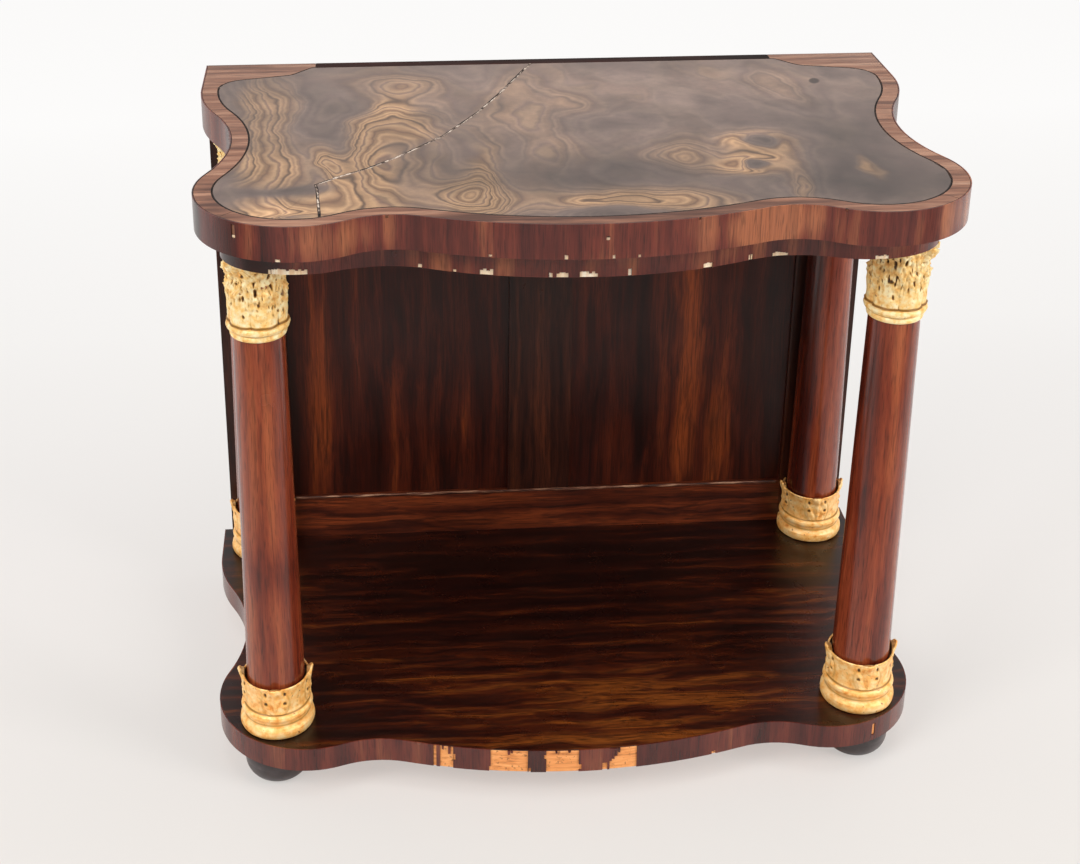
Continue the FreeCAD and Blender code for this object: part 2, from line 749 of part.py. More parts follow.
columns = {}
frame_screws = []
frame_zone = box("frame_zone", (-d.plinth_half_width, d.plinth_half_width),
                 (frame_front, d.back_depth * 1.2), (0, table_top))
for place, (column_x, column_y) in COLUMN_PLACES.items():
    pieces = {
        "base": column_base(f"base_{place}_body", column_x, column_y),
        "capital": capital(f"capital_{place}_body", column_x, column_y),
        "shaft": shaft(f"shaft_{place}_body", column_x, column_y),
    }
    if place.startswith("rear"):
        # the rear columns are flattened where they stand against the back frame
        for kind, piece in pieces.items():
            pieces[kind] = cut(f"{kind}_{place}_flat", piece, frame_zone)
        for height in (d.lower_screw_height, d.upper_screw_height):
            frame_screws.append(screw(f"frame_screw_{len(frame_screws)}", d.frame_screw_length,
                                      column_x, d.back_depth, height, towards_front=True))
        pieces["shaft"] = cut(f"shaft_{place}_bored", pieces["shaft"], *frame_screws[-2:])
    for kind, piece in pieces.items():
        keep(f"column_{kind}_{place}", piece)
    columns[place] = pieces["shaft"]
keep("frame_screws", group("frame_screw_set", frame_screws))

# --- back frame ---------------------------------------------------------------------------

panel_front = frame_front + d.panel_setback
panel_back = panel_front + d.panel_thickness
muntin_half = d.muntin_width * 0.5
rail_top = plinth_top + d.bottom_rail_height
top_rail_bottom = board_bottom - d.top_rail_height
frame_depth = (frame_front, d.back_depth)
tenon_depth = (panel_front, panel_back)


def on_side(side, low, high):
    """The same stretch of X on the right (1) or on the left (-1)."""
    return (low, high) if side > 0 else (-high, -low)


SIDES = {"left": -1, "right": 1}
panels = {}
for name, side in SIDES.items():
    stretch = on_side(side, muntin_half - d.groove_depth, stile_inner + d.groove_depth)
    board = box(f"panel_{name}_board", stretch, tenon_depth,
                (rail_top - d.groove_depth, top_rail_bottom + d.groove_depth))
    panels[name] = keep(f"back_panel_{name}", board)


def back_rail(label, low, high):
    """A rail with a long tenon at each end, grooved for the panels."""
    bar = box(f"{label}_bar", (-stile_inner, stile_inner), frame_depth, (low, high))
    reach = stile_inner + d.mortise_depth
    tenon = box(f"{label}_tenon", (-reach, reach), tenon_depth,
                (low + d.rail_shoulder, high - d.rail_shoulder))
    rail = fuse(f"{label}_whole", bar, tenon)
    return keep(label, cut(f"{label}_grooved", rail, *panels.values()))


rails = [back_rail("back_bottom_rail", plinth_top, rail_top),
         back_rail("back_top_rail", top_rail_bottom, board_bottom)]
stiles = []
for name, side in SIDES.items():
    post = box(f"stile_{name}_post", on_side(side, stile_inner, d.top_half_width), frame_depth,
               (plinth_top, board_bottom))
    # one stub tenon stands in the plinth and one in the top board
    width = on_side(side, stile_inner + d.stile_shoulder, d.top_half_width - d.stile_shoulder)
    stub = box(f"stile_{name}_stub", width, tenon_depth,
               (plinth_top - d.stile_tenon_length, board_bottom + d.stile_tenon_length))
    stile = fuse(f"stile_{name}_whole", post, stub)
    stiles.append(keep(f"back_stile_{name}",
                       cut(f"stile_{name}_mortised", stile, *rails, panels[name], *frame_screws)))
muntin = box("muntin_post", (-muntin_half, muntin_half), frame_depth, (rail_top, top_rail_bottom))
keep("back_muntin", cut("muntin_grooved", muntin, *panels.values()))


def bar_along_x(name, corners, x, y, z, length):
    """A straight bar with a section drawn in Y and Z."""
    body = new_body(name, x, y, z)
    sketch = new_sketch(body, "YZ_Plane")
    draw_profile(sketch, corners)
    pad(body, sketch, length)
    return body


keep("back_bead", bar_along_x("bead_body", [(0, 0, d.bead_size * 0.52), (0, -d.bead_size)],
                              -d.bead_half_length, frame_front, rail_top, d.bead_half_length * 2))
block_section = [(0, 0), (-d.glue_block_size, 0), (0, -d.glue_block_size)]
glue_blocks = [bar_along_x(f"glue_block_{i}_body", block_section, i * d.glue_block_pitch - d.glue_block_size,
                           frame_front, board_bottom, d.glue_block_size * 2) for i in (-1, 0, 1)]
keep("glue_blocks", group("glue_block_set", glue_blocks))

# --- plinth -------------------------------------------------------------------------------

ground = serpentine("plinth_ground_body", "plinth", d.veneer, d.back_depth, plinth_bottom,
                    d.plinth_thickness - d.veneer)
facing = serpentine("plinth_facing_body", "plinth", d.veneer, d.back_depth, plinth_top - d.veneer, d.veneer)
standing = [*columns.values(), *stiles]
keep("plinth_top_veneer", cut("plinth_facing_bored", facing, *standing))
keep("plinth_board", cut("plinth_ground_bored", ground, *standing, *feet))


def edge_skin(name, plan, inset, back, bottom, height):
    """A sheet of veneer round the serpentine edge, open at the back."""
    outside = serpentine(f"{name}_outside", plan, inset, back, bottom, height)
    inside = serpentine(f"{name}_inside", plan, inset + d.veneer, back + d.veneer, bottom, height)
    return cut(f"{name}_sheet", outside, inside)


plinth_skin = edge_skin("plinth_skin", "plinth", size_of(0), d.back_depth, plinth_bottom, d.plinth_thickness)
# stretches of X, and of height, where the veneer of the bowed front has come away
LOST_VENEER = [
    (-189, -171, 0, 36), (-120, -69, 0, 36), (-44, 1, 0, 36), (44, 82, 0, 36), (34, 41, 0, 12),
]
for x_low, x_high, z_low, z_high in LOST_VENEER:
    patch = box("bare_patch", (x_low, x_high), (-d.plinth_front_depth, -d.plinth_hollow_depth),
                (plinth_bottom + z_low, plinth_bottom + z_high))
    plinth_skin = cut("plinth_skin_worn", plinth_skin, patch)
keep("plinth_edge_veneer", plinth_skin)

# --- apron --------------------------------------------------------------------------------

rail_outer = d.apron_inset + d.veneer
rail_inner = d.apron_inset + d.apron_thickness
apron_solid = serpentine("apron_solid", "top", rail_outer, d.rear_block_front, apron_bottom, d.apron_height)
apron_hollow = serpentine("apron_hollow", "top", rail_inner, d.rear_block_front + 10, apron_bottom,
                          d.apron_height)
apron_ring = cut("apron_ring", apron_solid, apron_hollow)
apron_span = (apron_bottom, board_bottom)
tenon_middle = apron_bottom + d.apron_height * 0.5
tenon_span = (tenon_middle - d.tenon_width * 0.5, tenon_middle + d.tenon_width * 0.5)
middle = (float(rail_outer) + float(rail_inner)) / 2
(waist_x, waist_y), waist_radius = plan_centres("top")[1]
(lobe_x, lobe_y), lobe_radius = plan_centres("top")[2]
block_end_x, block_end_y = float(d.apron_block_side), -float(d.apron_block_back)
front_tenon_y = lobe_y - math.sqrt((lobe_radius - middle)**2 - (block_end_x - lobe_x)**2)
side_tenon_x = waist_x - math.sqrt((waist_radius + middle)**2 - (block_end_y - waist_y)**2)
rear_tenon_x = d.top_half_width - middle
half_tenon = d.tenon_thickness * 0.5
root = d.tenon_length * 0.25


def rail(label, stretch_x, stretch_y, tenons):
    """A stretch of the apron between two blocks, with a straight tenon at each end."""
    piece = common(f"{label}_stretch", apron_ring, box(f"{label}_zone", stretch_x, stretch_y, apron_span))
    ends = [box(f"{label}_tenon", x, y, tenon_span) for x, y in tenons]
    return fuse(f"{label}_tenoned", piece, *ends)


apron_rails = {}
front_tenons = []
for side in SIDES.values():
    stretch = on_side(side, d.apron_block_side - root, d.apron_block_side + d.tenon_length)
    front_tenons.append((stretch, (front_tenon_y - half_tenon, front_tenon_y + half_tenon)))
apron_rails["front"] = rail("apron_front", (-d.apron_block_side, d.apron_block_side),
                            (-d.top_front_depth, 0), front_tenons)
for name, side in SIDES.items():
    front_end = (-d.apron_block_back - d.tenon_length, -d.apron_block_back + root)
    rear_end = (d.rear_block_front - root, d.rear_block_front + d.tenon_length)
    tenons = [(on_side(side, side_tenon_x - half_tenon, side_tenon_x + half_tenon), front_end),
              (on_side(side, rear_tenon_x - half_tenon, rear_tenon_x + half_tenon), rear_end)]
    apron_rails[name] = rail(f"apron_{name}", on_side(side, 0, d.top_half_width),
                             (-d.apron_block_back, d.rear_block_front), tenons)

# screws from below hold the top down: two in the front blocks, one in each rail
block_screw_x = d.apron_block_side + d.top_screw_inset
rail_screw_x = waist_x - waist_radius - middle
TOP_SCREW_PLACES = {
    "block_left": (-block_screw_x, -d.top_screw_block_y),
    "block_right": (block_screw_x, -d.top_screw_block_y),
    "left": (-rail_screw_x, waist_y),
    "right": (rail_screw_x, waist_y),
    "front": (0, middle - d.top_front_depth),
}
top_screws = {name: screw(f"top_screw_{name}", d.top_screw_length, screw_x, screw_y, apron_bottom)
              for name, (screw_x, screw_y) in TOP_SCREW_PLACES.items()}
keep("top_screws", group("top_screw_set", top_screws.values()))
for name, piece in apron_rails.items():
    keep(f"apron_rail_{name}", cut(f"apron_rail_{name}_bored", piece, top_screws[name]))
for name, side in SIDES.items():
    zone = box(f"block_zone_{name}", on_side(side, d.apron_block_side, d.top_half_width),
               (-d.top_front_depth, -d.apron_block_back), apron_span)
    block = common(f"apron_block_{name}_whole", apron_solid, zone)
    keep(f"apron_block_front_{name}",
         cut(f"apron_block_front_{name}_bored", block, apron_rails["front"], apron_rails[name],
             columns[f"front_{name}"], top_screws[f"block_{name}"]))
    block = box(f"apron_block_rear_{name}_whole", on_side(side, stile_inner, d.rear_block_half_width),
                (d.rear_block_front, frame_front), apron_span)
    keep(f"apron_block_rear_{name}",
         cut(f"apron_block_rear_{name}_bored", block, apron_rails[name], columns[f"rear_{name}"]))
keep("apron_veneer", edge_skin("apron_skin", "top", d.apron_inset, d.rear_block_front, apron_bottom,
                               d.apron_height))

# --- top ----------------------------------------------------------------------------------

board = serpentine("top_board_body", "top", d.veneer, d.back_depth, board_bottom,
                   d.top_thickness - d.slab_thickness)
keep("top_board", cut("top_board_bored", board, *stiles, *top_screws.values()))
keep("top_edge_veneer", edge_skin("top_skin", "top", size_of(0), d.back_depth, board_bottom, d.top_thickness))

slab = slab_board("slab_body", slab_bottom, d.slab_thickness)
border_solid = serpentine("border_body", "top", d.veneer, d.back_depth, slab_bottom, d.slab_thickness)
border = cut("border_ring", border_solid, slab)
slab_span = (slab_bottom, table_top)
slab_back = d.back_depth - d.back_strip_width
beyond = 60


def border_piece(label, zone):
    return keep(label, common(f"{label}_cut", border, zone))


border_piece("border_back", box("border_back_zone", (-d.fin_start, d.fin_start),
                                (d.corner_joint_y, d.back_depth), slab_span))
side_zones = []
for name, side in SIDES.items():
    corner = box(f"border_corner_{name}_zone", on_side(side, d.fin_start, d.top_half_width),
                 (d.corner_joint_y, d.back_depth), slab_span)
    border_piece(f"border_corner_{name}", corner)
    # the mitre runs out at 45 degrees through the middle of the rounded corner
    far_x = float(d.top_half_width) + beyond
    mitre = [(side * lobe_x, lobe_y), (side * far_x, lobe_y - (far_x - lobe_x)),
             (side * far_x, d.corner_joint_y), (side * lobe_x, d.corner_joint_y)]
    zone = prism(f"border_{name}_zone", mitre, slab_bottom, d.slab_thickness)
    border_piece(f"border_{name}", zone)
    side_zones.append(zone)
front_zone = box("border_front_zone", (-d.top_half_width, d.top_half_width),
                 (-d.top_front_depth, lobe_y), slab_span)
keep("border_front", cut("border_front_mitred", common("border_front_cut", border, front_zone), *side_zones))

# the slab is broken in two along a wandering line and was set back together
CRACK = [
    (-20, 302), (-34, 272), (-78, 166), (-115, 85), (-168, -8), (-233, -86), (-268, -120),
    (-306, -149), (-334, -174), (-332, -187), (-328, -269),
]
crack_zone = prism("crack_zone", [(-14, 320), *CRACK, (-325, -340), (-600, -340), (-600, 320)],
                   slab_bottom, d.slab_thickness)
keep("stone_slab_left", common("stone_slab_left_piece", slab, crack_zone))
keep("stone_slab_right", cut("stone_slab_right_piece", slab, crack_zone))

# --- check and write ----------------------------------------------------------------------

doc.recompute()
for feature in doc.Objects:
    if "Invalid" in feature.State or "Error" in feature.State:
        raise RuntimeError(f"{feature.Name} could not be rebuilt")
os.makedirs("parts", exist_ok=True)
for label, feature in kept.items():
    shape = feature.Shape
    if shape.isNull() or not shape.isValid() or not shape.Solids:
        raise RuntimeError(f"{label} has no valid solid")
    shape.exportStep(f"parts/{label}.step")
print(len(kept), "pieces written")
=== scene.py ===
# %% [markdown]
# # A rosewood pier table
# This lesson dresses a finished joinery model of a pier table: four gilt and rosewood columns
# between a shaped plinth and a shaped top, which frames a slab of banded stone.
# The joinery comes in as a fixed frame. It is never moved. What is added here is what the eye
# meets first: wood figure, polish, gilding, carving, chipped veneer and an old mended crack.

import math
import random
from functools import partial

import bpy
import numpy as np
from mathutils import Matrix, Vector


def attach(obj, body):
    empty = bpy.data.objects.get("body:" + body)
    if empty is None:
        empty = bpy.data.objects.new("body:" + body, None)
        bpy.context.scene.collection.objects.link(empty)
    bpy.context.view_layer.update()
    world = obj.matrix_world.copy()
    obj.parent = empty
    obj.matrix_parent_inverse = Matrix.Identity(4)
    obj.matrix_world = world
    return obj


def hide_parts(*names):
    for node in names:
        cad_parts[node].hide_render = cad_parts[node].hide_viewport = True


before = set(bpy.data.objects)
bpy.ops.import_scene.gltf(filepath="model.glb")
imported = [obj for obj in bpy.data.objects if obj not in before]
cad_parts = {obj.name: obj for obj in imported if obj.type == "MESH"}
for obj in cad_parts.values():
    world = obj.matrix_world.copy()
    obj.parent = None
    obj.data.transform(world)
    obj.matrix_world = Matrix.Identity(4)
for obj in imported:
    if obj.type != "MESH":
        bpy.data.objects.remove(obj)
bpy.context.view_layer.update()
MM = 0.001
print("nodes:", len(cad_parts))

# %% [markdown]
# ## Camera
# The table is seen from a little above and a little left, as a person standing in front of it
# sees it. The lens is long, so the uprights stay nearly parallel. The shift moves the picture
# without turning the camera.

# %% Camera
PICTURE_WIDTH = 1080
PICTURE_HEIGHT = 864
SENSOR = 36.0
EYE = Vector((-0.2766, -2.2374, 1.6999))
EYE_YAW = 0.06837
EYE_PITCH = 0.39562
EYE_ROLL = -0.00104
FOCAL_PIXELS = 1787.03
AXIS_PIXEL = (475.72, 221.07)


def camera_turn(yaw, pitch, roll):
    """Columns of the camera's own right, up and backward axes."""
    flat = math.cos(pitch)
    forward = Vector((math.sin(yaw) * flat, math.cos(yaw) * flat, -math.sin(pitch)))
    level = Vector((math.cos(yaw), -math.sin(yaw), 0))
    down = forward.cross(level)
    right = math.cos(roll) * level + math.sin(roll) * down
    down = math.cos(roll) * down - math.sin(roll) * level
    return Matrix((right, -down, -forward)).transposed().to_4x4()


bpy.ops.object.camera_add()
camera = bpy.context.object
camera.name = "eye"
camera.matrix_world = Matrix.Translation(EYE) @ camera_turn(EYE_YAW, EYE_PITCH, EYE_ROLL)
camera.data.sensor_width = SENSOR
camera.data.lens = FOCAL_PIXELS * SENSOR / PICTURE_WIDTH
camera.data.shift_x = (PICTURE_WIDTH / 2 - AXIS_PIXEL[0]) / PICTURE_WIDTH
camera.data.shift_y = (AXIS_PIXEL[1] - PICTURE_HEIGHT / 2) / PICTURE_WIDTH
bpy.context.scene.camera = camera
print("lens", round(camera.data.lens, 2), "mm")

# %% [markdown]
# ## Tools for finishes
# Every colour is written as the sRGB hex value that a paint program shows, and one function
# turns it into the linear numbers that the shader needs. One small helper adds a node. Blender
# shows only the inputs that a node uses with its present settings, and the helper fills those
# from the top down. A value that is itself a node or a socket becomes a link, and any other
# value is set. So each finish reads as a short list of nodes, each with what feeds it.

# %% Tools for finishes
def colour(code):
    """Linear RGBA of an sRGB hex colour."""
    parts = [int(code[i:i + 2], 16) / 255 for i in (1, 3, 5)]
    linear = [c / 12.92 if c <= 0.04045 else ((c + 0.055) / 1.055) ** 2.4 for c in parts]
    return (*linear, 1.0)


def feed(socket, value):
    """Links a socket, or a node's first shown output, to an input, or sets the input."""
    if isinstance(value, bpy.types.Node):
        value = next(output for output in value.outputs if output.enabled)
    if isinstance(value, bpy.types.NodeSocket):
        socket.id_data.links.new(value, socket)
    else:
        socket.default_value = value


def fill(node, *inputs, **named):
    """Sets properties and inputs by name, or a ramp's stops, and then the shown inputs in order."""
    for name, value in named.items():
        title = name.replace("_", " ")
        if name == "stops":
            elements = node.color_ramp.elements
            while len(elements) < len(value):
                elements.new(0.5)
            for element, (place, code) in zip(elements, value):
                element.position = place
                element.color = colour(code)
        elif title in node.inputs:
            feed(node.inputs[title], value)
        else:
            setattr(node, name, value)
    shown = [socket for socket in node.inputs if socket.enabled]
    for socket, value in zip(shown, inputs):
        feed(socket, value)
    return node


def add_node(tree, kind, *inputs, **named):
    """Adds a shader node and fills it."""
    return fill(tree.nodes.new("ShaderNode" + kind), *inputs, **named)


def new_finish(name):
    """An empty material, its shader, the object's own coordinates, and the helper for its tree."""
    finish = bpy.data.materials.new(name)
    finish.use_nodes = True
    add = partial(add_node, finish.node_tree)
    return finish, finish.node_tree.nodes["Principled BSDF"], add("TexCoord").outputs["Object"], add


print("white is", colour("#ffffff"))

# %% [markdown]
# ## Room
# A pale studio: one wide floor and a soft white world. The floor is a real surface, so it
# keeps the soft shadow of the table. A real studio is white only behind and beside the
# table. In front of it stands a dark room, and polished wood shows that as deep, clear
# colour. So the floor that the camera sees is pale all over, while light and reflections
# find it darker toward the front.

# %% Floor
FLOOR_SIZE = 24.0
# from front to back, the colours that the eye sees, and those that light and reflections find
FLOOR_SEEN = [(0.0, "#dedad6"), (0.25, "#e8e4e1"), (0.55, "#f5f3f1"), (1.0, "#fefdfc")]
FLOOR_FELT = [(0.0, "#cfcac6"), (0.30, "#c4bfbb"), (0.44, "#8d8884"), (0.58, "#86817d"),
              (0.74, "#cbc6c2"), (1.0, "#f6f3f1")]
# how much of the floor that the eye sees glows by itself, which hides its far edge
GLOW_NEAR = 0.62
GLOW_FAR = 0.92

bpy.ops.object.select_all(action="DESELECT")
bpy.ops.mesh.primitive_grid_add(x_subdivisions=4, y_subdivisions=4, size=FLOOR_SIZE, location=(0, 0, 0))
floor = bpy.context.object
floor.name = "studio_floor"
floor_paint, shader, spot, add = new_finish("matt_floor_paint")
depth = add("SeparateXYZ", spot).outputs["Y"]
away = add("MapRange", depth, -0.45, 2.6)
front = add("MapRange", depth, -3.0, 0.3)
seen_paint = add("ValToRGB", away, stops=FLOOR_SEEN)
felt_paint = add("ValToRGB", front, stops=FLOOR_FELT)
camera_ray = add("LightPath").outputs["Is Camera Ray"]
paint = add("Mix", camera_ray, felt_paint, seen_paint, data_type="RGBA")
fill(shader, Base_Color=paint, Roughness=0.85, Specular_IOR_Level=0.2)
glow = add("Emission", seen_paint, 1.0)
level = add("MapRange", away, 0, 1, GLOW_NEAR, GLOW_FAR)
share = add("Math", camera_ray, level, operation="MULTIPLY")
mixed = add("MixShader", share, shader, glow)
fill(floor_paint.node_tree.nodes["Material Output"], Surface=mixed)
floor.data.materials.append(floor_paint)
print("floor", FLOOR_SIZE, "m wide")

# %% [markdown]
# ## World and lamps
# The world lights the table faintly from the front and more from the back, and only the eye,
# and light that passes through something, finds it white. Three large soft lamps do the rest:
# a soft lamp gives polish a wide, calm highlight.

# %% World
# the world's strength in front and behind
WORLD_FRONT = 0.22
WORLD_BACK = 0.64
WORLD_LIGHT = "#fffdfb"
WORLD_SEEN = "#fbf8f7"

world = bpy.data.worlds.new("white_room")
bpy.context.scene.world = world
world.use_nodes = True
world.node_tree.nodes.clear()
add = partial(add_node, world.node_tree)
rays = add("LightPath").outputs
way = add("TexCoord").outputs["Generated"]
depth = add("SeparateXYZ", way).outputs["Y"]
wall = add("MapRange", depth, -0.7, 0.35, WORLD_FRONT, WORLD_BACK)
seen = add("Math", rays["Is Camera Ray"], rays["Is Transmission Ray"], operation="MAXIMUM")
lit = add("Background", colour(WORLD_LIGHT), wall)
white = add("Background", colour(WORLD_SEEN), 1.0)
either = add("MixShader", seen, lit, white)
add("OutputWorld", either)
print("world strength", WORLD_FRONT, "in front,", WORLD_BACK, "behind")

# %% Lamps
# name, place, width, height, power in watts
LAMPS = [
    ("soft_box_left", (-2.2, -2.2, 3.0), 1.6, 1.6, 104.0),
    ("soft_box_right", (2.9, -2.0, 2.2), 1.4, 2.0, 98.0),
    ("soft_box_over", (0.1, -0.5, 3.6), 2.4, 2.0, 52.0),
]
AIM = Vector((0, 0, 0.5))
for name, spot, wide, tall, power in LAMPS:
    bpy.ops.object.light_add(type="AREA", location=spot)
    lamp = bpy.context.object
    lamp.name = name
    lamp.data.shape = "RECTANGLE"
    lamp.data.size = wide
    lamp.data.size_y = tall
    lamp.data.energy = power
    lamp.rotation_euler = (AIM - Vector(spot)).to_track_quat("-Z", "Y").to_euler()
bpy.context.scene.view_settings.view_transform = "Standard"
print("lamps", len(LAMPS))

# %% [markdown]
# ## Rosewood
# Rosewood veneer has near-black growth lines in red-brown wood, and fine dark pores that all
# run with the grain. Three patterns give it: broad figure, black lines and pores. All three
# are the same noise, squeezed across the grain and drawn out along it, so they read as long
# streaks. A slow bend lets them sway together. The best leaves of veneer have a "flame",
# where the saw passed close to the heart: each flame is a soft lighter place.
# A flame with a minus sign is a dark streak. Some flames are painted light instead of figure: a
# lighter one paints a highlight or reflection, and a darker one paints shade.

# %% Rosewood finish
# a half size that reaches all the way along its axis
ANY = 9000.0
GRAIN_INK = "#140705"
# real pores are about 0.2 mm wide, which is too fine to show, so they are drawn coarser
PORE_WIDTH = 1.3
PORE_LENGTH = 26
# size in mm of the patches where the polish is duller
HAZE = 70


def streaks(add, spot, grain, width, length, detail, roughness, bend=None, sway=0.0):
    """Noise in streaks width mm across the grain and length mm along it, swayed by a bend."""
    size = [1 / (width * MM)] * 3
    size[grain] = 1 / (length * MM)
    place = add("VectorMath", spot, size, operation="MULTIPLY")
    if bend:
        place = add("VectorMath", bend, [sway] * 3, place, operation="MULTIPLY_ADD")
    return add("TexNoise", place, 1.0, detail, roughness)


def around(add, spot, centre, half, turn=0.0):
    """Squared distance from a centre, as a share of the half sizes. Sizes in mm."""
    local = add("Mapping", spot, [c * MM for c in centre], (0, 0, turn), [h * MM for h in half],
                vector_type="TEXTURE")
    return add("VectorMath", local, local, operation="DOT_PRODUCT")


def rosewood(name, grain, stops, figure=40, line=5, run=16, lines_seen=0.5, rough=0.26, sway=1.0,
             flames_and_painted_light=(), leaf_width=0.0, specular=0.5):
    """Polished rosewood. grain is the axis that it runs along, and sizes are in mm."""
    finish, shader, spot, add = new_finish(name)
    bend = streaks(add, spot, grain, figure * 3, figure * 9, 2.0, 0.5).outputs["Color"]
    tone = streaks(add, spot, grain, figure, figure * run, 4.0, 0.55, bend, sway)
    growth = streaks(add, spot, grain, line, line * run * 3, 3.0, 0.6, bend, sway * 5.0)
    fine = streaks(add, spot, grain, line * 0.36, line * run * 1.6, 2.0, 0.6, bend, sway * 8.0)
    pores = streaks(add, spot, grain, PORE_WIDTH, PORE_LENGTH, 1.0, 0.5)
    # each leaf of a cross-banding has its own tone
    if leaf_width:
        across = add("VectorMath", spot, (1, 1, 0), operation="MULTIPLY")
        leaf = add("TexVoronoi", across, 1 / (leaf_width * MM), Randomness=0.8)
        grey = add("SeparateXYZ", leaf.outputs["Color"])
        own = add("Math", grey, 0.16, -0.08, operation="MULTIPLY_ADD")
        tone = add("Math", tone, own, operation="ADD")
    swayed = add("VectorMath", bend, [0.04] * 3, [-0.02] * 3, operation="MULTIPLY_ADD")
    moved = add("VectorMath", spot, swayed, operation="ADD")
    # flames lighten or darken, and sway with the grain; some of them are painted light and shade
    for centre, half, rise in flames_and_painted_light:
        fall = add("Math", 0.4, around(add, moved, centre, half), operation="POWER")
        tone = add("Math", fall, rise, tone, operation="MULTIPLY_ADD")
    # growth lines and pores are inked over the colour, the bump gives the polish its grain
    wood = add("ValToRGB", tone, stops=stops)
    for pattern, low, high, most in ((growth, 0.36, 0.52, lines_seen), (fine, 0.34, 0.50, lines_seen * 0.7),
                                     (pores, 0.32, 0.46, 0.45)):
        ink = add("MapRange", pattern, low, high, most, 0.0)
        wood = add("Mix", ink, wood, colour(GRAIN_INK), data_type="RGBA")
    haze = add("TexNoise", spot, 1 / (HAZE * MM), 4.0)
    dull = add("MapRange", haze, 0, 1, rough - 0.08, rough + 0.14)
    bump = add("Bump", Strength=0.10, Distance=0.0003, Height=fine)
    fill(shader, Base_Color=wood, Roughness=dull, Normal=bump, IOR=1.5, Specular_IOR_Level=specular)
    return finish


# %% [markdown]
# ## A veneer for each part
# A cabinet maker picks each leaf for its place: straight and calm round the columns, flamed on
# the panels, flowing along the plinth, and cross-banded, with its grain upright, round the
# edges. So each part has its own rosewood, with its own colours, figure and flames. A flame
# is written as its centre, its half sizes and how much lighter it is.

# %% Veneers of columns and back
column_veneer = rosewood(
    "column_rosewood_french_polished", 2,
    [(0.26, "#48150a"), (0.42, "#762d17"), (0.55, "#8c3f23"), (0.75, "#a35733")],
    figure=24, run=22, lines_seen=0.30, rough=0.2, sway=0.8,
    flames_and_painted_light=[((-420, -205, 350), (60, 60, 40), -0.16), ((420, -200, 560), (60, 60, 70), -0.10),
            # painted shade: the next two flames darken the left sides of the rear right and front right shafts
            ((422, 240, 400), (16, 40, ANY), -0.30), ((384, -190, 400), (14, 50, ANY), -0.14),
            # painted reflection: the next flame lightens the left side of the front left shaft
            ((-440, -195, 500), (12, 40, ANY), 0.10)])
panel_veneer = rosewood(
    "panel_rosewood_flame_veneer", 2,
    [(0.30, "#1c0704"), (0.46, "#330f07"), (0.62, "#4c1c0d"), (0.80, "#7c3817")],
    figure=30, run=18, lines_seen=0.55, rough=0.3, sway=1.1, specular=0.32,
    flames_and_painted_light=[((252, 290, 250), (44, ANY, 190), 0.26), ((240, 290, 470), (17, ANY, 120), 0.20),
            ((-350, 290, 330), (22, ANY, 260), 0.12), ((-130, 290, 290), (30, ANY, 60), 0.10),
            ((110, 290, 220), (34, ANY, 60), 0.10), ((165, 290, 260), (8, ANY, 130), -0.3)])
upright_veneer = rosewood(
    "frame_rosewood_upright_grain", 2,
    [(0.30, "#200b07"), (0.50, "#3a190e"), (0.72, "#582a16")],
    figure=22, run=18, lines_seen=0.6, rough=0.3, specular=0.32)
rail_veneer = rosewood(
    "frame_rosewood_level_grain", 0,
    [(0.30, "#2c0f08"), (0.48, "#54210f"), (0.70, "#853c1c")],
    figure=18, lines_seen=0.6, rough=0.3)
print("veneers of columns and back:", column_veneer.name, panel_veneer.name, upright_veneer.name, rail_veneer.name)

# %% Veneers of plinth and top
plinth_veneer = rosewood(
    "plinth_rosewood_flowing_grain", 0,
    [(0.34, "#130301"), (0.48, "#240803"), (0.60, "#401606"), (0.80, "#733b12")],
    figure=17, line=3.2, lines_seen=0.72, sway=2.0,
    flames_and_painted_light=[((120, -150, 86), (230, 55, ANY), 0.22), ((60, -250, 86), (210, 36, ANY), 0.20),
            ((-250, -60, 86), (130, 50, ANY), 0.10), ((380, 70, 86), (110, 22, ANY), 0.14),
            # the last flame makes the plinth's top darker toward the back
            ((-20, 200, 86), (420, 90, ANY), -0.10)])
# painted shade in the band's flames: the one at X -415, on the apron under the left lobe, and at -490,
# the band's left end; painted reflections: those at -290 and 450, near the left lobe and on the right lobe
band_veneer = rosewood(
    "cross_banded_rosewood", 2,
    [(0.26, "#290c08"), (0.42, "#501b14"), (0.56, "#692b1e"), (0.78, "#9d5c3c")],
    figure=34, line=3.4, run=12, lines_seen=0.26, rough=0.2, sway=0.5, leaf_width=80,
    flames_and_painted_light=[((208, -300, 872), (64, ANY, 30), 0.48), ((-415, -225, 815), (50, 90, 26), -0.34),
            ((-355, -300, 867), (12, ANY, 40), 0.12), ((-490, -150, 867), (56, 120, 34), -0.40),
            ((-290, -300, 872), (60, ANY, 34), 0.30), ((450, -230, 870), (80, 110, 34), 0.24),
            ((60, -280, 820), (330, ANY, 17), 0.12)])
border_veneer = rosewood(
    "border_rosewood", 0,
    [(0.28, "#4c2a1c"), (0.46, "#7e533e"), (0.60, "#976d56"), (0.78, "#ad866f")],
    figure=14, line=4, lines_seen=0.14, rough=0.34, sway=0.8, specular=0.32,
    # the border's two flames make it darker along the front middle and at the left lobe
    flames_and_painted_light=[((20, -292, 890), (200, 34, ANY), -0.26), ((-450, -230, 890), (30, 60, ANY), -0.20)])
stained_block = rosewood(
    "pine_stained_to_match", 2, [(0.30, "#260c08"), (0.48, "#4a1d13"), (0.70, "#6e3320")],
    lines_seen=0.2, rough=0.42)
strip_veneer = rosewood(
    "dull_back_strip", 0, [(0.30, "#160806"), (0.48, "#2c120c"), (0.70, "#4a2014")],
    rough=0.62, specular=0.15)
print("materials so far", len(bpy.data.materials))

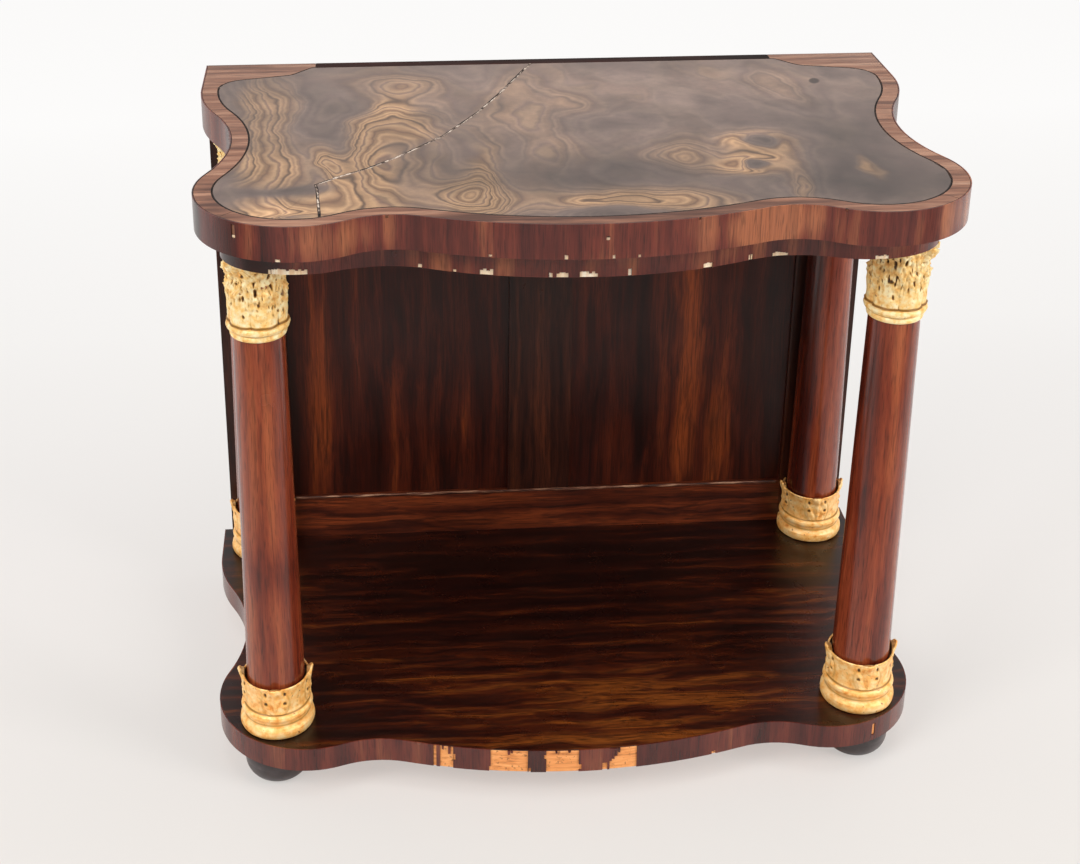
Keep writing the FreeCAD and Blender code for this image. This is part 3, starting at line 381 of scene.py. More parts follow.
# %% [markdown]
# ## Pine, ebonised wood and iron
# Under the veneer is plain pine. Where it has long been bare it is orange and spotted with old
# glue, and a fresh break is cream. Both are darker toward the wall. The feet are beech stained
# black and rubbed with wax, and the screws are iron with a little rust. In each, one noise
# picks the colour from a ramp. Bare pine has a second one for glue.

# %% Bare pine
# waves to a metre along X, Y and Z: long ones along the grain
PINE_WAVES = (12, 260, 260)
BREAK_WAVES = (260, 260, 40)


def darker_toward_back(add, spot, wood, start, full, most, code):
    """Wood that darkens from one Y to another, in metres."""
    depth = add("SeparateXYZ", spot).outputs["Y"]
    share = add("MapRange", depth, start, full, 0, most)
    return add("Mix", share, wood, colour(code), data_type="RGBA", blend_type="MULTIPLY")


softwood, shader, spot, add = new_finish("bare_aged_pine")
long = add("VectorMath", spot, PINE_WAVES, operation="MULTIPLY")
year = add("TexNoise", long, 1.0, 5.0, 0.6)
pine = add("ValToRGB", year, stops=[(0.3, "#b06a38"), (0.46, "#e59452"), (0.7, "#fbb673")])
glue = add("TexNoise", spot, 1 / (5 * MM), 4.0)
glue_seen = add("MapRange", glue, 0.60, 0.68, 0, 0.8)
pine = add("Mix", glue_seen, pine, colour("#8a5128"), data_type="RGBA")
bump = add("Bump", Strength=0.3, Distance=0.0005, Height=year)
fill(shader, Base_Color=darker_toward_back(add, spot, pine, 0.20, 0.30, 0.92, "#a58a78"), Roughness=0.75, Normal=bump)

fresh_break, shader, spot, add = new_finish("freshly_broken_pine")
long = add("VectorMath", spot, BREAK_WAVES, operation="MULTIPLY")
splinter = add("TexNoise", long, 1.0, 4.0)
cream = add("ValToRGB", splinter, stops=[(0.3, "#ecc69a"), (0.55, "#fbe5c6"), (0.7, "#fff5e0")])
fill(shader, Base_Color=darker_toward_back(add, spot, cream, 0.28, 0.315, 1.0, "#8d6a4c"), Roughness=0.8)
print("pine:", softwood.name, fresh_break.name)

# %% Black feet, screws and bead
BEAD_WAVES = (30, 300, 300)


def mottled(name, size, detail, stops, dull=(), lumpy=0.5, **looks):
    """One noise, of a size in mm, that picks its colour from a ramp and may vary how dull it is."""
    finish, shader, spot, add = new_finish(name)
    noise = add("TexNoise", spot, 1 / (size * MM), detail, lumpy)
    if dull:
        looks["Roughness"] = add("MapRange", noise, 0, 1, *dull)
    fill(shader, add("ValToRGB", noise, stops=stops), **looks)
    return finish


ebonised = mottled("ebonised_beech", 14, 6.0, [(0.35, "#231b1b"), (0.62, "#382e30"), (0.78, "#504446")],
                   dull=(0.22, 0.45), Coat_Weight=0.3)
iron = mottled("old_iron", 3, 5.0, [(0.35, "#3a3634"), (0.6, "#55504c"), (0.75, "#5e4030")],
               dull=(0.35, 0.7), Metallic=0.9)

# the bead is painted lighter than the rail round it: a painted highlight along the rail's top edge
bead_with_painted_highlight, shader, spot, add = new_finish("bead_with_a_painted_highlight")
long = add("VectorMath", spot, BEAD_WAVES, operation="MULTIPLY")
bead_streaks = add("TexNoise", long, 1.0, 5.0)
# this colour, streaky and lighter than the rail, is the painted highlight of the bead
worn = add("ValToRGB", bead_streaks, stops=[(0.38, "#2a130c"), (0.5, "#5a3222"), (0.66, "#a07a60")])
fill(shader, Base_Color=worn, Roughness=0.35)
print("feet, screws and bead:", ebonised.name, iron.name, bead_with_painted_highlight.name)

# %% [markdown]
# ## Banded onyx marble
# The slab is a slice through layers that grew round many centres. Think of it as a map: soft
# hills and hollows stand where the rings are, and the contour lines of that map are the
# bands. Each hill is listed one by one. It also says how tan and how pale the stone is there.
# Noise of three sizes bends the whole map, so that no line is smooth and no ring is round.
# Where the stone is grey its bands are faint, and clouds of lighter and darker stone show.
# One broad pale hill at the back is a painted reflection of light from behind the table.

# %% Hills of the stone
# name, centre X and Y, half width and half depth in mm, turn in degrees, height, how tan, how pale
HILLS = [
    ("ring at the back", -228, 206, 60, 46, 0, 0.9, 0.40, 0.16),
    ("core of the ring", -228, 208, 24, 16, 0, 0.0, -0.1, 0.10),
    ("wavy column at the left", -410, 90, 44, 300, 4, 0.0, 0.46, 0.0),
    ("slope of the column", -500, 80, 105, 420, 4, 3.2, 0.0, 0.0),
    ("foot of the column", -398, -110, 50, 52, 0, 0.4, 0.42, 0.05),
    ("edge beside the column", -460, 0, 20, 400, 0, 0.0, -0.4, -0.15),
    ("dark zone beside the column", -322, 60, 26, 130, 4, -0.5, -0.5, -0.18),
    ("peak over the arch", -230, 104, 26, 46, 0, 0.25, 0.85, 0.15),
    ("arch", -205, -120, 78, 175, 4, 3.0, 0.38, 0.0),
    ("tan of the arch", -228, 22, 44, 36, 0, 0.0, 0.60, 0.0),
    ("tan of its left leg", -268, -150, 22, 150, 5, 0.3, 0.75, 0.0),
    ("tan of its right leg", -126, -150, 18, 110, -8, 0.3, 0.50, 0.0),
    ("core of the arch", -190, -130, 42, 84, 6, -1.4, -0.12, -0.16),
    ("crescent", -316, -96, 15, 80, 10, 0.9, 0.85, 0.1),
    ("dome at the front left", -362, -282, 86, 46, -3, 1.1, 0.95, 0.66),
    ("dark line over the dome", -390, -194, 70, 12, 4, 0.0, -0.55, -0.34),
    ("dark line under the dome", -356, -276, 34, 9, 0, -0.6, -0.8, -0.62),
    ("shelf at the front left", -296, -236, 36, 50, 0, 0.2, 0.75, 0.05),
    ("curls by the front", -140, -220, 40, 60, 0, 1.2, 0.60, 0.05),
    ("knot at the right, upper", 250, -58, 34, 38, -20, 1.1, 1.25, 0.55),
    ("its core", 252, -58, 17, 20, -20, -1.1, -1.8, -0.85),
    ("knot at the right, lower", 224, -138, 35, 28, 10, 1.1, 1.30, 0.55),
    ("its core", 228, -138, 17, 13, 0, -1.1, -1.8, -0.85),
    ("faint ring beside the knots", 148, -105, 66, 50, 0, 1.2, 0.36, 0.06),
    ("amber eye", 372, -162, 15, 46, 8, 0.3, 0.90, 0.05),
    ("front hump", 60, -256, 100, 40, -6, 1.7, 0.95, 0.22),
    ("pocket in the front hump", 26, -288, 46, 20, 0, -2.4, -1.5, -0.60),
    ("warm drift", -40, 20, 44, 340, 2, 0.9, 0.22, 0.12),
    ("small ring at the back", 25, 105, 44, 40, 0, 0.6, 0.18, 0.0),
    ("upright lines at the back", 318, 190, 34, 150, 10, 0.8, 0.16, 0.10),
    # a painted reflection: the middle of the stone at the back made paler, as if mirroring light from behind
    ("painted reflection on the middle at the back", 120, 190, 300, 90, 0, 0.2, 0.10, 0.46),
    ("vein at the right", 268, -215, 16, 70, -8, 0.8, 0.45, 0.05),
    ("front edge at the right", 310, -290, 130, 14, 0, 0.6, 0.40, 0.1),
    ("dark right side", 366, -60, 84, 130, 0, -0.2, -0.30, -0.40),
    ("dark right front", 372, -225, 130, 66, 0, 0.0, -0.2, -0.44),
    ("dark middle at the front", 10, -165, 170, 66, 0, 0.0, -0.1, -0.50),
]
# size in mm of each noise that bends the map, and how far it pushes
BENDS = [(140, 20), (42, 10), (14, 1.8)]

stone, shader, spot, add = new_finish("banded_onyx_marble_honed")
flat = add("VectorMath", spot, (1, 1, 0), operation="MULTIPLY")
bent = flat
for size, most in BENDS:
    noise = add("TexNoise", flat, 1 / (size * MM), 1.5)
    reach = most * MM
    push = add("VectorMath", noise.outputs["Color"], (2 * reach, 2 * reach, 0), (-reach, -reach, 0),
               operation="MULTIPLY_ADD")
    bent = add("VectorMath", bent, push, operation="ADD")
upright = add("VectorMath", bent, (1, 0.6, 1), operation="MULTIPLY")
land = add("TexNoise", upright, 1 / (105 * MM), 2.0, 0.45)
height = add("Math", land, 1.3, -0.65, operation="MULTIPLY_ADD")
tan = add("Math", land, 0.7, -0.22, operation="MULTIPLY_ADD")
lightness_and_painted_reflection = add("Math", 1.0, 0.0)
for name, x, y, wide, deep, turn, rise, warm, pale in HILLS:
    far = around(add, bent, (x, y, 0), (wide, deep, ANY), math.radians(turn))
    fall = add("Math", far, -0.8, operation="MULTIPLY")
    hill = add("Math", fall, operation="EXPONENT")
    height = add("Math", hill, rise, height, operation="MULTIPLY_ADD")
    tan = add("Math", hill, warm, tan, operation="MULTIPLY_ADD")
    if pale:
        lightness_and_painted_reflection = add("Math", hill, pale, lightness_and_painted_reflection, operation="MULTIPLY_ADD")
print("hills", len(HILLS))

# %% Bands and colours of the stone
# bands to one unit of height, fine lines to one band, and the stone's overall lightness
BANDS = 1.5
FINE = 3.0
STONE_GAIN = 2.02
GREY_BANDS = [(0.0, "#5e4e47"), (0.14, "#66554c"), (0.30, "#5a4a44"), (0.52, "#62524a"), (0.76, "#584842"),
              (1.0, "#5e4e47")]
TAN_BANDS = [(0.0, "#775a41"), (0.10, "#8c6d4f"), (0.17, "#553d2c"), (0.25, "#806247"), (0.38, "#8f7052"),
             (0.45, "#62483a"), (0.53, "#9b7b5c"), (0.68, "#785b42"), (0.75, "#503828"), (0.82, "#7f6045"),
             (0.92, "#967657"), (1.0, "#775a41")]
FINE_LINES = [(0.0, "#c4c4c4"), (0.25, "#d6d6d6"), (0.5, "#a4a4a4"), (0.75, "#c4c4c4"), (1.0, "#c4c4c4")]

# the contour lines of the map repeat each ramp
ramps = []
for count, stops in ((BANDS, GREY_BANDS), (BANDS, TAN_BANDS), (FINE * BANDS, FINE_LINES)):
    turns = add("Math", height, count, operation="MULTIPLY")
    step = add("Math", turns, operation="FRACT")
    ramps.append(add("ValToRGB", step, stops=stops))
grey_bands, tan_bands, fine_lines = ramps
share = add("MapRange", tan, 0.10, 0.85, interpolation_type="SMOOTHSTEP")
rock = add("Mix", share, grey_bands, tan_bands, data_type="RGBA")
fine_share = add("MapRange", tan, 0.12, 0.7, 0.06, 1.0)
fine = add("Mix", fine_share, colour("#c6c6c6"), fine_lines, data_type="RGBA")
# clouds, specks and the hills' own lightness scale the colour, with the painted reflection at the back
cloud = add("TexNoise", bent, 1 / (75 * MM), 4.0, 0.55)
cloudy = add("MapRange", cloud, 0.3, 0.7, 0.72, 1.26)
mottle = add("TexNoise", flat, 1 / (9 * MM), 6.0, 0.7)
tone = add("MapRange", mottle, 0.3, 0.7, 0.84, 1.16)
for factor in (cloudy, fine, STONE_GAIN, lightness_and_painted_reflection):
    tone = add("Math", tone, factor, operation="MULTIPLY")
shade = add("VectorMath", rock, tone, operation="SCALE")
print("ramps of the stone", len(ramps))

# %% Worn spot and polish of the stone
# centre, half sizes in mm and turn in radians of a dark worn spot near the back right corner
WORN_SPOT = (381, 192, 0)
WORN_HALF = (7.5, 13, ANY)
WORN_TURN = -0.3
near = add("Math", around(add, flat, WORN_SPOT, WORN_HALF, WORN_TURN), operation="SQRT")
worn = add("MapRange", near, 0.8, 1.15, 0.9, 0.0)
marble = add("Mix", worn, shade, colour("#2a1c16"), data_type="RGBA")
dull = add("MapRange", mottle, 0, 1, 0.24, 0.42)
fill(shader, Base_Color=marble, Roughness=dull, IOR=1.48)
print("stone:", stone.name)

# %% [markdown]
# ## Dirt and plaster
# Old wax and dust turn black in every open joint. The crack was filled with plaster, which has
# gone grey and patchy. Lumpy noise a centimetre wide gives both their stains.

# %% Dirt and plaster
grime = mottled("old_wax_and_dirt_in_a_joint", 9, 4.0,
                [(0.35, "#120c0a"), (0.6, "#241712"), (0.75, "#4a3a2e")], Roughness=0.8)
filler = mottled("plaster_filler_in_the_crack", 12, 5.0,
                 [(0.38, "#2b211c"), (0.47, "#6d5b50"), (0.54, "#b0a092"), (0.68, "#cbbcae")],
                 lumpy=0.7, Roughness=0.75)
print("dirt and plaster:", grime.name, filler.name)

# %% [markdown]
# ## Gilding
# Gold leaf lies over a red-brown clay called bole, on gesso. It is bright and a little matt
# on the high places. Dirt and bare bole stay in the hollows, and painted shade darkens them too:
# the finish reads how deep the carver went, from an attribute that the carving step writes on the mesh.

# %% Gilt finish
gilt, shader, spot, add = new_finish("water_gilding_over_bole")
# clean leaf turns to bole, dirt and painted shade as the carving goes deeper
deep = add("Attribute", attribute_name="hollow").outputs["Fac"]
patchy = add("TexNoise", spot, 1 / (11 * MM), 6.0, 0.6)
# the palest patches of the leaf are partly bright leaf and partly painted highlight
leaf_gold_and_painted_highlights = add("ValToRGB", patchy, stops=[(0.3, "#e19b45"), (0.45, "#fbd082"), (0.64, "#fff0c0")])
dirt_and_shade_colour = add("ValToRGB", deep, stops=[(0.0, "#e0a650"), (0.35, "#b58232"), (0.65, "#6b4716"), (1.0, "#3a2009")])
tall = add("SeparateXYZ", spot).outputs["Z"]
low_down = add("MapRange", tall, 0.5, 0.2)
warm_gold = add("Mix", low_down, leaf_gold_and_painted_highlights, colour("#ffe6cc"), data_type="RGBA", blend_type="MULTIPLY")
dirt_and_shade_share = add("MapRange", deep, 0.05, 0.4)
bole = add("Mix", dirt_and_shade_share, warm_gold, dirt_and_shade_colour, data_type="RGBA")
# here and there the leaf is rubbed through to the bole
rubbed = add("TexNoise", spot, 1 / (7 * MM), 5.0)
rub_mask = add("MapRange", rubbed, 0.66, 0.74)
gold = add("Mix", rub_mask, bole, colour("#8a4a20"), data_type="RGBA")
metal_left = add("MapRange", deep, 0, 1, 0.12, 0.0)
dull = add("MapRange", patchy, 0, 1, 0.34, 0.52)
bump = add("Bump", Strength=0.25, Distance=0.0006, Height=rubbed)
fill(shader, Base_Color=gold, Metallic=metal_left, Roughness=dull, Normal=bump)
print("gilding:", gilt.name)

# %% [markdown]
# ## Turning and carving
# A carved capital starts on the lathe. Here a chain of edges is extruded along the outline
# and spun round the axis. Then the leaves are cut: each vertex of the dense mesh is moved in
# or out by a carving rule. Sculpting in code like this gives leaves with lobes, ribs and
# drilled eyes that spin and bevel alone can't give.

# %% Turning
# size of the first plane and reach of a merge, in metres
START_SIZE = 0.002
MERGE = 0.00001
# steps of the lathe, a little over a degree each
STEPS = 288


def edit_all(piece):
    """Enters edit mode on one piece, with all of it selected."""
    bpy.ops.object.select_all(action="DESELECT")
    bpy.context.view_layer.objects.active = piece
    piece.select_set(True)
    bpy.ops.object.mode_set(mode="EDIT")
    bpy.ops.mesh.select_all(action="SELECT")


def first_vertex(name, place):
    """Starts a piece as one vertex at a place in mm: a small plane that is merged at its centre."""
    bpy.ops.object.select_all(action="DESELECT")
    bpy.ops.mesh.primitive_plane_add(size=START_SIZE, location=[c * MM for c in place])
    piece = bpy.context.object
    piece.name = name
    bpy.ops.object.transform_apply(location=True, rotation=True, scale=True)
    edit_all(piece)
    bpy.ops.mesh.merge(type="CENTER")
    return piece


def pull(x, y, z):
    """Extrudes what is selected by a step in mm."""
    bpy.ops.mesh.extrude_region_move(TRANSFORM_OT_translate={"value": (x * MM, y * MM, z * MM)})


def turned(name, outline, cuts):
    """Spins a closed outline of (radius, height) points in mm round the Z axis."""
    piece = first_vertex(name, (outline[0][0], 0, outline[0][1]))
    for (r0, z0), (r1, z1) in zip(outline, outline[1:] + outline[:1]):
        pull(r1 - r0, 0, z1 - z0)
    bpy.ops.mesh.select_all(action="SELECT")
    bpy.ops.mesh.remove_doubles(threshold=MERGE)
    bpy.ops.mesh.subdivide(number_cuts=cuts)
    bpy.ops.mesh.select_all(action="SELECT")
    bpy.ops.mesh.spin(steps=STEPS, angle=math.tau, center=(0, 0, 0), axis=(0, 0, 1))
    bpy.ops.mesh.select_all(action="SELECT")
    bpy.ops.mesh.remove_doubles(threshold=MERGE)
    bpy.ops.mesh.normals_make_consistent(inside=False)
    bpy.ops.object.mode_set(mode="OBJECT")
    bpy.ops.object.shade_smooth()
    return piece


# %% Carving tools
def ease(value, low, high):
    """0 below low, 1 above high, and a smooth rise between them."""
    t = np.clip((value - low) / (high - low), 0, 1)
    return t * t * (3 - 2 * t)


def wrapped(angle, count, turn):
    """Angle from the nearest of count places round the axis, the first at turn."""
    pitch = math.tau / count
    return (angle - turn + pitch / 2) % pitch - pitch / 2


def ripple(angle, height, size, seed):
    """Uneven waves of about that size in mm: ten turned sine waves, each a whole number round."""
    chance = np.random.default_rng(seed)
    total = np.zeros_like(height)
    for step in range(10):
        count = math.tau / (size * chance.uniform(0.75, 1.5))
        way = chance.uniform(0, math.pi)
        total += np.sin(angle * round(count * 40 * math.cos(way)) + height * count * math.sin(way)
                        + chance.uniform(0, math.tau))
    return total / math.sqrt(5)


def carved(piece, rule):
    """Moves each vertex by a rule of angle, height and radius in mm, and keeps how deep it went, for dirt and
    painted shade.
    """
    mesh = piece.data
    spots = np.empty(len(mesh.vertices) * 3)
    mesh.vertices.foreach_get("co", spots)
    spots = spots.reshape(-1, 3) / MM
    angle = np.arctan2(spots[:, 1], spots[:, 0])
    radius = np.hypot(spots[:, 0], spots[:, 1])
    out, up, hollow = rule(angle, spots[:, 2], radius)
    radius = radius + out
    spots = np.stack([radius * np.cos(angle), radius * np.sin(angle), spots[:, 2] + up], 1)
    mesh.vertices.foreach_set("co", (spots * MM).ravel())
    mesh.attributes.new("hollow", "FLOAT", "POINT").data.foreach_set("value", hollow.astype(np.float32))
    mesh.update()
    print(piece.name, "faces", len(mesh.polygons), "carved", out.min().round(1), "to", out.max().round(1), "mm")
    return piece


# %% [markdown]
# ## Capital
# The capital is a bell with two rows of acanthus leaves under a hollow-sided abacus. One leaf
# is an outline with lobes, a rib, veins and drilled eyes, which the rule sets round the bell
# six times in each row. Uneven waves push the leaves about, as age and old gesso did.

# %% Leaf
def leaf(across, rise, half, thick, curl, lobes, tall):
    """One acanthus leaf: its lift in mm, how far inside its outline, and its dark eyes."""
    t = np.clip(rise, 0, 1)
    body = half * (0.93 + 0.12 * np.sin(np.pi * (t * 1.15 + 0.05)))
    crown = np.sqrt(np.clip(1 - np.clip((t - 0.60) / 0.40, 0, 1) ** 2.4, 0, 1))
    bite = np.abs(np.cos(lobes * np.pi * (t + 0.02))) ** 5 * ease(t, 0.36, 0.48)
    edge = np.maximum(body * crown * (1 - 0.42 * bite), 0.05)
    side = np.abs(across) / edge
    inside = np.where((rise >= 0) & (rise <= 1), 1 - side, -1)
    dome = np.clip(inside, 0, 1)
    lift = thick * (1 - (1 - dome) ** 2.5) * ease(inside, 0, 0.10)
    lift += 1.1 * np.exp(-(across / 1.7) ** 2) * ease(inside, 0.05, 0.3) * ease(t, 0.25, 0.45)
    vein = np.cos(2 * np.pi * (lobes * (t + 0.02) - 0.75 * side))
    lift -= (1.5 * np.clip(vein, 0, 1) ** 1.5 * ease(inside, 0.02, 0.2) * ease(side, 0.15, 0.4)
             * ease(t, 0.36, 0.50))
    lift += curl * ease(t, 0.66, 1.0) ** 1.3 * ease(inside, 0, 0.2)
    eyes = np.zeros_like(t)
    for step in range(2, int(lobes) + 1):
        high = step / lobes - 0.03
        reach = np.hypot((np.abs(across) - 0.56 * half * (1.15 - 0.5 * high)) / 1.7, (t - high) * tall / 2.6)
        eyes = np.maximum(eyes, np.exp(-reach ** 2) * (high < 0.93))
    return lift, inside, eyes


# %% Capital
# all in mm, apart from the number of leaves in a row and the turn of each row
CAPITAL_FOOT = 690.0
BELL = 35.0
RINGS_TOP = 20.5
LEAVES = 6
LOWER_TURN = math.radians(-11)
UPPER_TURN = math.radians(19)
EYE_DEPTH = 3.6
ABACUS_HALF = 34.0
ABACUS_CORNER = 53.0
CAPITAL_OUTLINE = [
    (15.0, 0.0), (34.0, 0.0), (36.2, 1.2), (36.9, 3.6), (36.2, 6.2), (34.9, 8.0),
    (34.9, 9.2), (38.0, 10.0), (40.4, 12.0), (41.3, 15.0), (40.4, 18.0), (38.0, 19.8), (35.4, 21.2),
    (34.6, 24.0), (34.8, 40.0), (35.2, 60.0), (35.8, 80.0), (36.5, 95.0), (38.0, 104.0),
    (39.0, 107.0), (39.5, 110.0), (39.5, 116.0), (15.0, 116.0),
]


def capital_rule(angle, height, radius):
    """Two rows of leaves on the bell, under a hollow-sided abacus."""
    outer = radius > BELL - 2
    bell_zone = outer & (height > RINGS_TOP) & (height < 108)
    # the leaves, pushed about by uneven waves
    busy = ease(height, 42, 58)
    swerve = ripple(angle, height, 26, 1) * 1.5 * busy
    heave = ripple(angle, height, 24, 4) * 1.6 * busy
    lower_side = wrapped(angle, LEAVES, LOWER_TURN) * 40 + swerve
    upper_side = wrapped(angle, LEAVES, UPPER_TURN) * 41 + swerve
    corner = np.cos(4 * angle + math.pi) * 0.5 + 0.5
    low, low_in, low_eyes = leaf(lower_side, (height + heave - 19.5) / 50, 21.0, 3.0, 1.8, 5, 50)
    high, high_in, high_eyes = leaf(upper_side, (height + heave - 34) / 72, 19.5, 2.4, 2.6, 7, 72)
    high = high + corner ** 3 * 8.5 * ease(height, 76, 104) * ease(high_in, 0, 0.25)
    side_leaf = corner ** 3 * 9.5 * ease(height, 84, 104)
    lift = np.where(low_in > 0, low + 0.9, np.where(high_in > 0, high, -0.4 + side_leaf))
    lumps = ripple(angle, height, 8, 2) * 0.7 + np.abs(ripple(angle, height, 6, 3)) * 1.1 - 0.8
    lift = lift + lumps * busy * (1 - 0.4 * ease(height, 98, 106))
    lift = lift + 0.35 * ripple(angle, height, 14, 9) * (1 - busy)
    # drilled eyes, and where dirt stays and shade is painted: in the eyes, on low lumps, on the
    # ground between the leaves and along a line at the edge of the lower leaves
    eyes = np.where(low_in > 0, low_eyes, high_eyes)
    few = np.clip(0.15 + 0.8 * ripple(angle, height, 22, 8), 0, 1)
    stray = ease(ripple(angle, height, 8.5, 5), 1.5, 1.9) * busy * ease(-height, -98, -90)
    eyes = np.clip(np.maximum(eyes * few, stray), 0, 1)
    dug = np.where((low_in > 0) | (high_in > 0), 0, 0.3) * ease(height, 26, 38) * (1 - ease(height, 60, 80))
    shade = ease(-lumps, 0.35, 1.3) * 0.28 * busy + ease(ripple(angle, height, 5, 12), 1.1, 1.8) * 0.22
    hollow = np.clip(np.maximum(eyes * 1.4, shade), 0, 1)
    seam = np.exp(-(low_in / 0.045) ** 2) * (height < 50) * (0.3 + 0.6 * np.exp(-((angle + 0.72) / 0.3) ** 2))
    hollow = np.clip(np.maximum(np.maximum(hollow, dug), seam), 0, 1)
    lift = lift - EYE_DEPTH * eyes
    # the abacus and the rings
    side = np.abs((angle + math.pi / 4) % (math.pi / 2) - math.pi / 4)
    abacus = ABACUS_HALF / np.maximum(np.cos(side), 0.5) + 5.5 * (side / (math.pi / 4)) ** 2
    abacus = np.minimum(abacus, ABACUS_CORNER)
    abacus_zone = outer & (height >= 104.5) & (radius > 37)
    flare = ease(height, 103.5, 108.5)
    out = np.where(bell_zone, lift, 0.0)
    out = np.where(abacus_zone, np.maximum(out, (abacus - radius) * flare), out)
    rings = outer & (height < RINGS_TOP)
    hollow = np.where(bell_zone, hollow, 0.0)
    # painted shade in the grooves of the rings
    groove = np.exp(-((height - 8.6) / 1.0) ** 2) * 0.4 + np.exp(-((height - 21.6) / 1.7) ** 2) * 0.6
    hollow = np.where(rings | bell_zone, np.maximum(hollow, groove), hollow)
    out = np.where(rings, out + 0.18 * np.sin(angle * 7 + 2) * np.sin(height * 0.4), out)
    out = np.where(abacus_zone & (height > 106), out + 0.7 * np.sin(angle * 17) * np.sin(angle * 5 + 1), out)
    return out, np.zeros_like(out), hollow


capital = carved(turned("capital_pattern", CAPITAL_OUTLINE, 5), capital_rule)

# %% [markdown]
# ## Base
# The base is a turned torus with a collar that the column stands in. The collar is carved with
# four heart-shaped palmettes, whose tips curl over its rim. The rule works like the capital's.

# %% Base
# heights and radii in mm
BASE_FOOT = 86.0
COLLAR_FOOT = 37
COLLAR_RADIUS = 43.5
PALMETTES = 4
# two pairs of drilled eyes: across, height, half width and half height in mm
BASE_EYES = [(13.5, 72, 1.8, 2.2), (13.0, 57, 2.2, 1.8)]
BASE_OUTLINE = [
    (15.0, 0.0), (48.0, 0.0), (50.4, 1.5), (51.7, 5.0), (51.9, 9.0), (51.2, 13.5), (49.0, 16.6), (46.8, 18.2),
    (46.3, 20.0), (46.3, 24.0), (47.0, 26.4), (49.0, 28.0), (49.8, 31.0), (49.0, 34.4), (46.6, 36.4),
    (44.8, 38.4), (44.6, 44.0), (45.0, 54.0), (45.4, 66.0), (46.2, 78.0), (46.6, 80.5), (45.6, 81.6),
    (44.2, 81.2), (43.4, 79.6), (43.2, 71.8), (40.1, 70.6), (15.0, 70.6),
]


def base_rule(angle, height, radius):
    """Four heart-shaped palmettes with curled tips, and a plain hollow between each two."""
    outer = (radius > COLLAR_RADIUS) & (height > COLLAR_FOOT)
    side = wrapped(angle, PALMETTES, math.pi / 2) * 45
    rise = (height - COLLAR_FOOT) / 44
    heart_half = 17.5 * (0.50 + 0.60 * np.sin(np.pi * np.clip(rise * 0.86 + 0.12, 0, 1)))
    inside = 1 - np.abs(side) / np.maximum(heart_half, 1)
    lift = 2.4 * ease(inside, 0, 0.28) - 0.6
    lift += 1.3 * np.exp(-(side / 2.0) ** 2) * ease(rise, 0.0, 0.2) * ease(-rise, -0.8, -0.5)
    fan = np.cos(np.arctan2(side, np.maximum(height - 38, 1)) * 9)
    lift -= 1.5 * np.clip(-fan, 0, 1) ** 1.5 * ease(inside, 0.0, 0.3) * ease(rise, 0.08, 0.3)
    cleft = np.exp(-((np.abs(side) - 9 + 6 * rise) / 2.0) ** 2) * ease(rise, 0.5, 0.75)
    lift -= 1.6 * cleft * ease(inside, 0.0, 0.2)
    lift += ripple(angle, height, 8, 3) * 0.35 * ease(inside, 0.0, 0.2)
    lift -= 1.6 * np.sin(np.pi * np.clip(rise, 0, 1)) * (1 - ease(inside, -0.55, -0.05))
    eyes = np.zeros_like(side)
    for across, up, wide, tall in BASE_EYES:
        eyes = np.maximum(eyes, np.exp(-((np.abs(side) - across) / wide) ** 2 - ((height - up) / tall) ** 2))
    lift -= 3.4 * eyes
    tip = np.exp(-(side / 7.0) ** 4)
    crest = ease(height, 60, 80)
    ears = 0.22 + 0.78 * np.cos(angle) ** 2
    up = np.where(radius > 41, (tip * 7.4 * ears - (1 - tip * ears) * 1.2) * crest, 0.0)
    curl = tip * 4.4 * ease(height, 64, 79) * outer
    out = np.where(outer, lift * ease(height, COLLAR_FOOT, 41) * (1 - 0.4 * ease(height, 78, 82)) + curl, 0.0)
    rings = (radius > COLLAR_RADIUS) & (height <= COLLAR_FOOT)
    out = np.where(rings, 0.25 * np.sin(angle * 6 + 1) * np.sin(height * 0.3), out)
    # where dirt stays and shade is painted: the eyes, the palmettes' outlines and the ring grooves
    shade = ease(ripple(angle, height, 7, 12), 0.9, 1.8) * 0.24
    hollow = np.clip(np.maximum(eyes * 1.5, shade), 0, 1)
    border = np.exp(-((inside + 0.05) / 0.12) ** 2) * 0.25
    groove = np.exp(-((height - 21.5) / 1.8) ** 2) * 0.35 + np.exp(-((height - 38.0) / 1.4) ** 2) * 0.5
    hollow = np.where(outer, np.maximum(hollow, border), 0.0)
    hollow = np.where(radius > COLLAR_RADIUS, np.maximum(hollow, groove), hollow)
    # painted shade: the inside of the collar, in the gap round the shaft
    inner = (radius <= COLLAR_RADIUS) & (radius > 39.0) & (height < 79)
    hollow = np.where(inner, 0.85, hollow)
    return out, up, np.clip(hollow, 0, 1)


base = carved(turned("base_pattern", BASE_OUTLINE, 4), base_rule)

# %% [markdown]
# ## Place the carvings
# One capital and one base are modelled, and copied to the four columns, each copy with its own
# mesh. Turning some by half a turn keeps neighbours from looking alike. The rear columns
# are flat where they stand against the back, so those copies are cut there and closed.

# %% Place the carvings
# column, X and Y of its axis in mm, and turn in degrees
AXES = [
    ("front_left", -413.0, -172.0, 0),
    ("front_right", 413.0, -172.0, 180),
    ("rear_left", -449.5, 268.0, 180),
    ("rear_right", 449.5, 268.0, 0),
]
BACK_FACE_OF_COLUMNS = 292.0


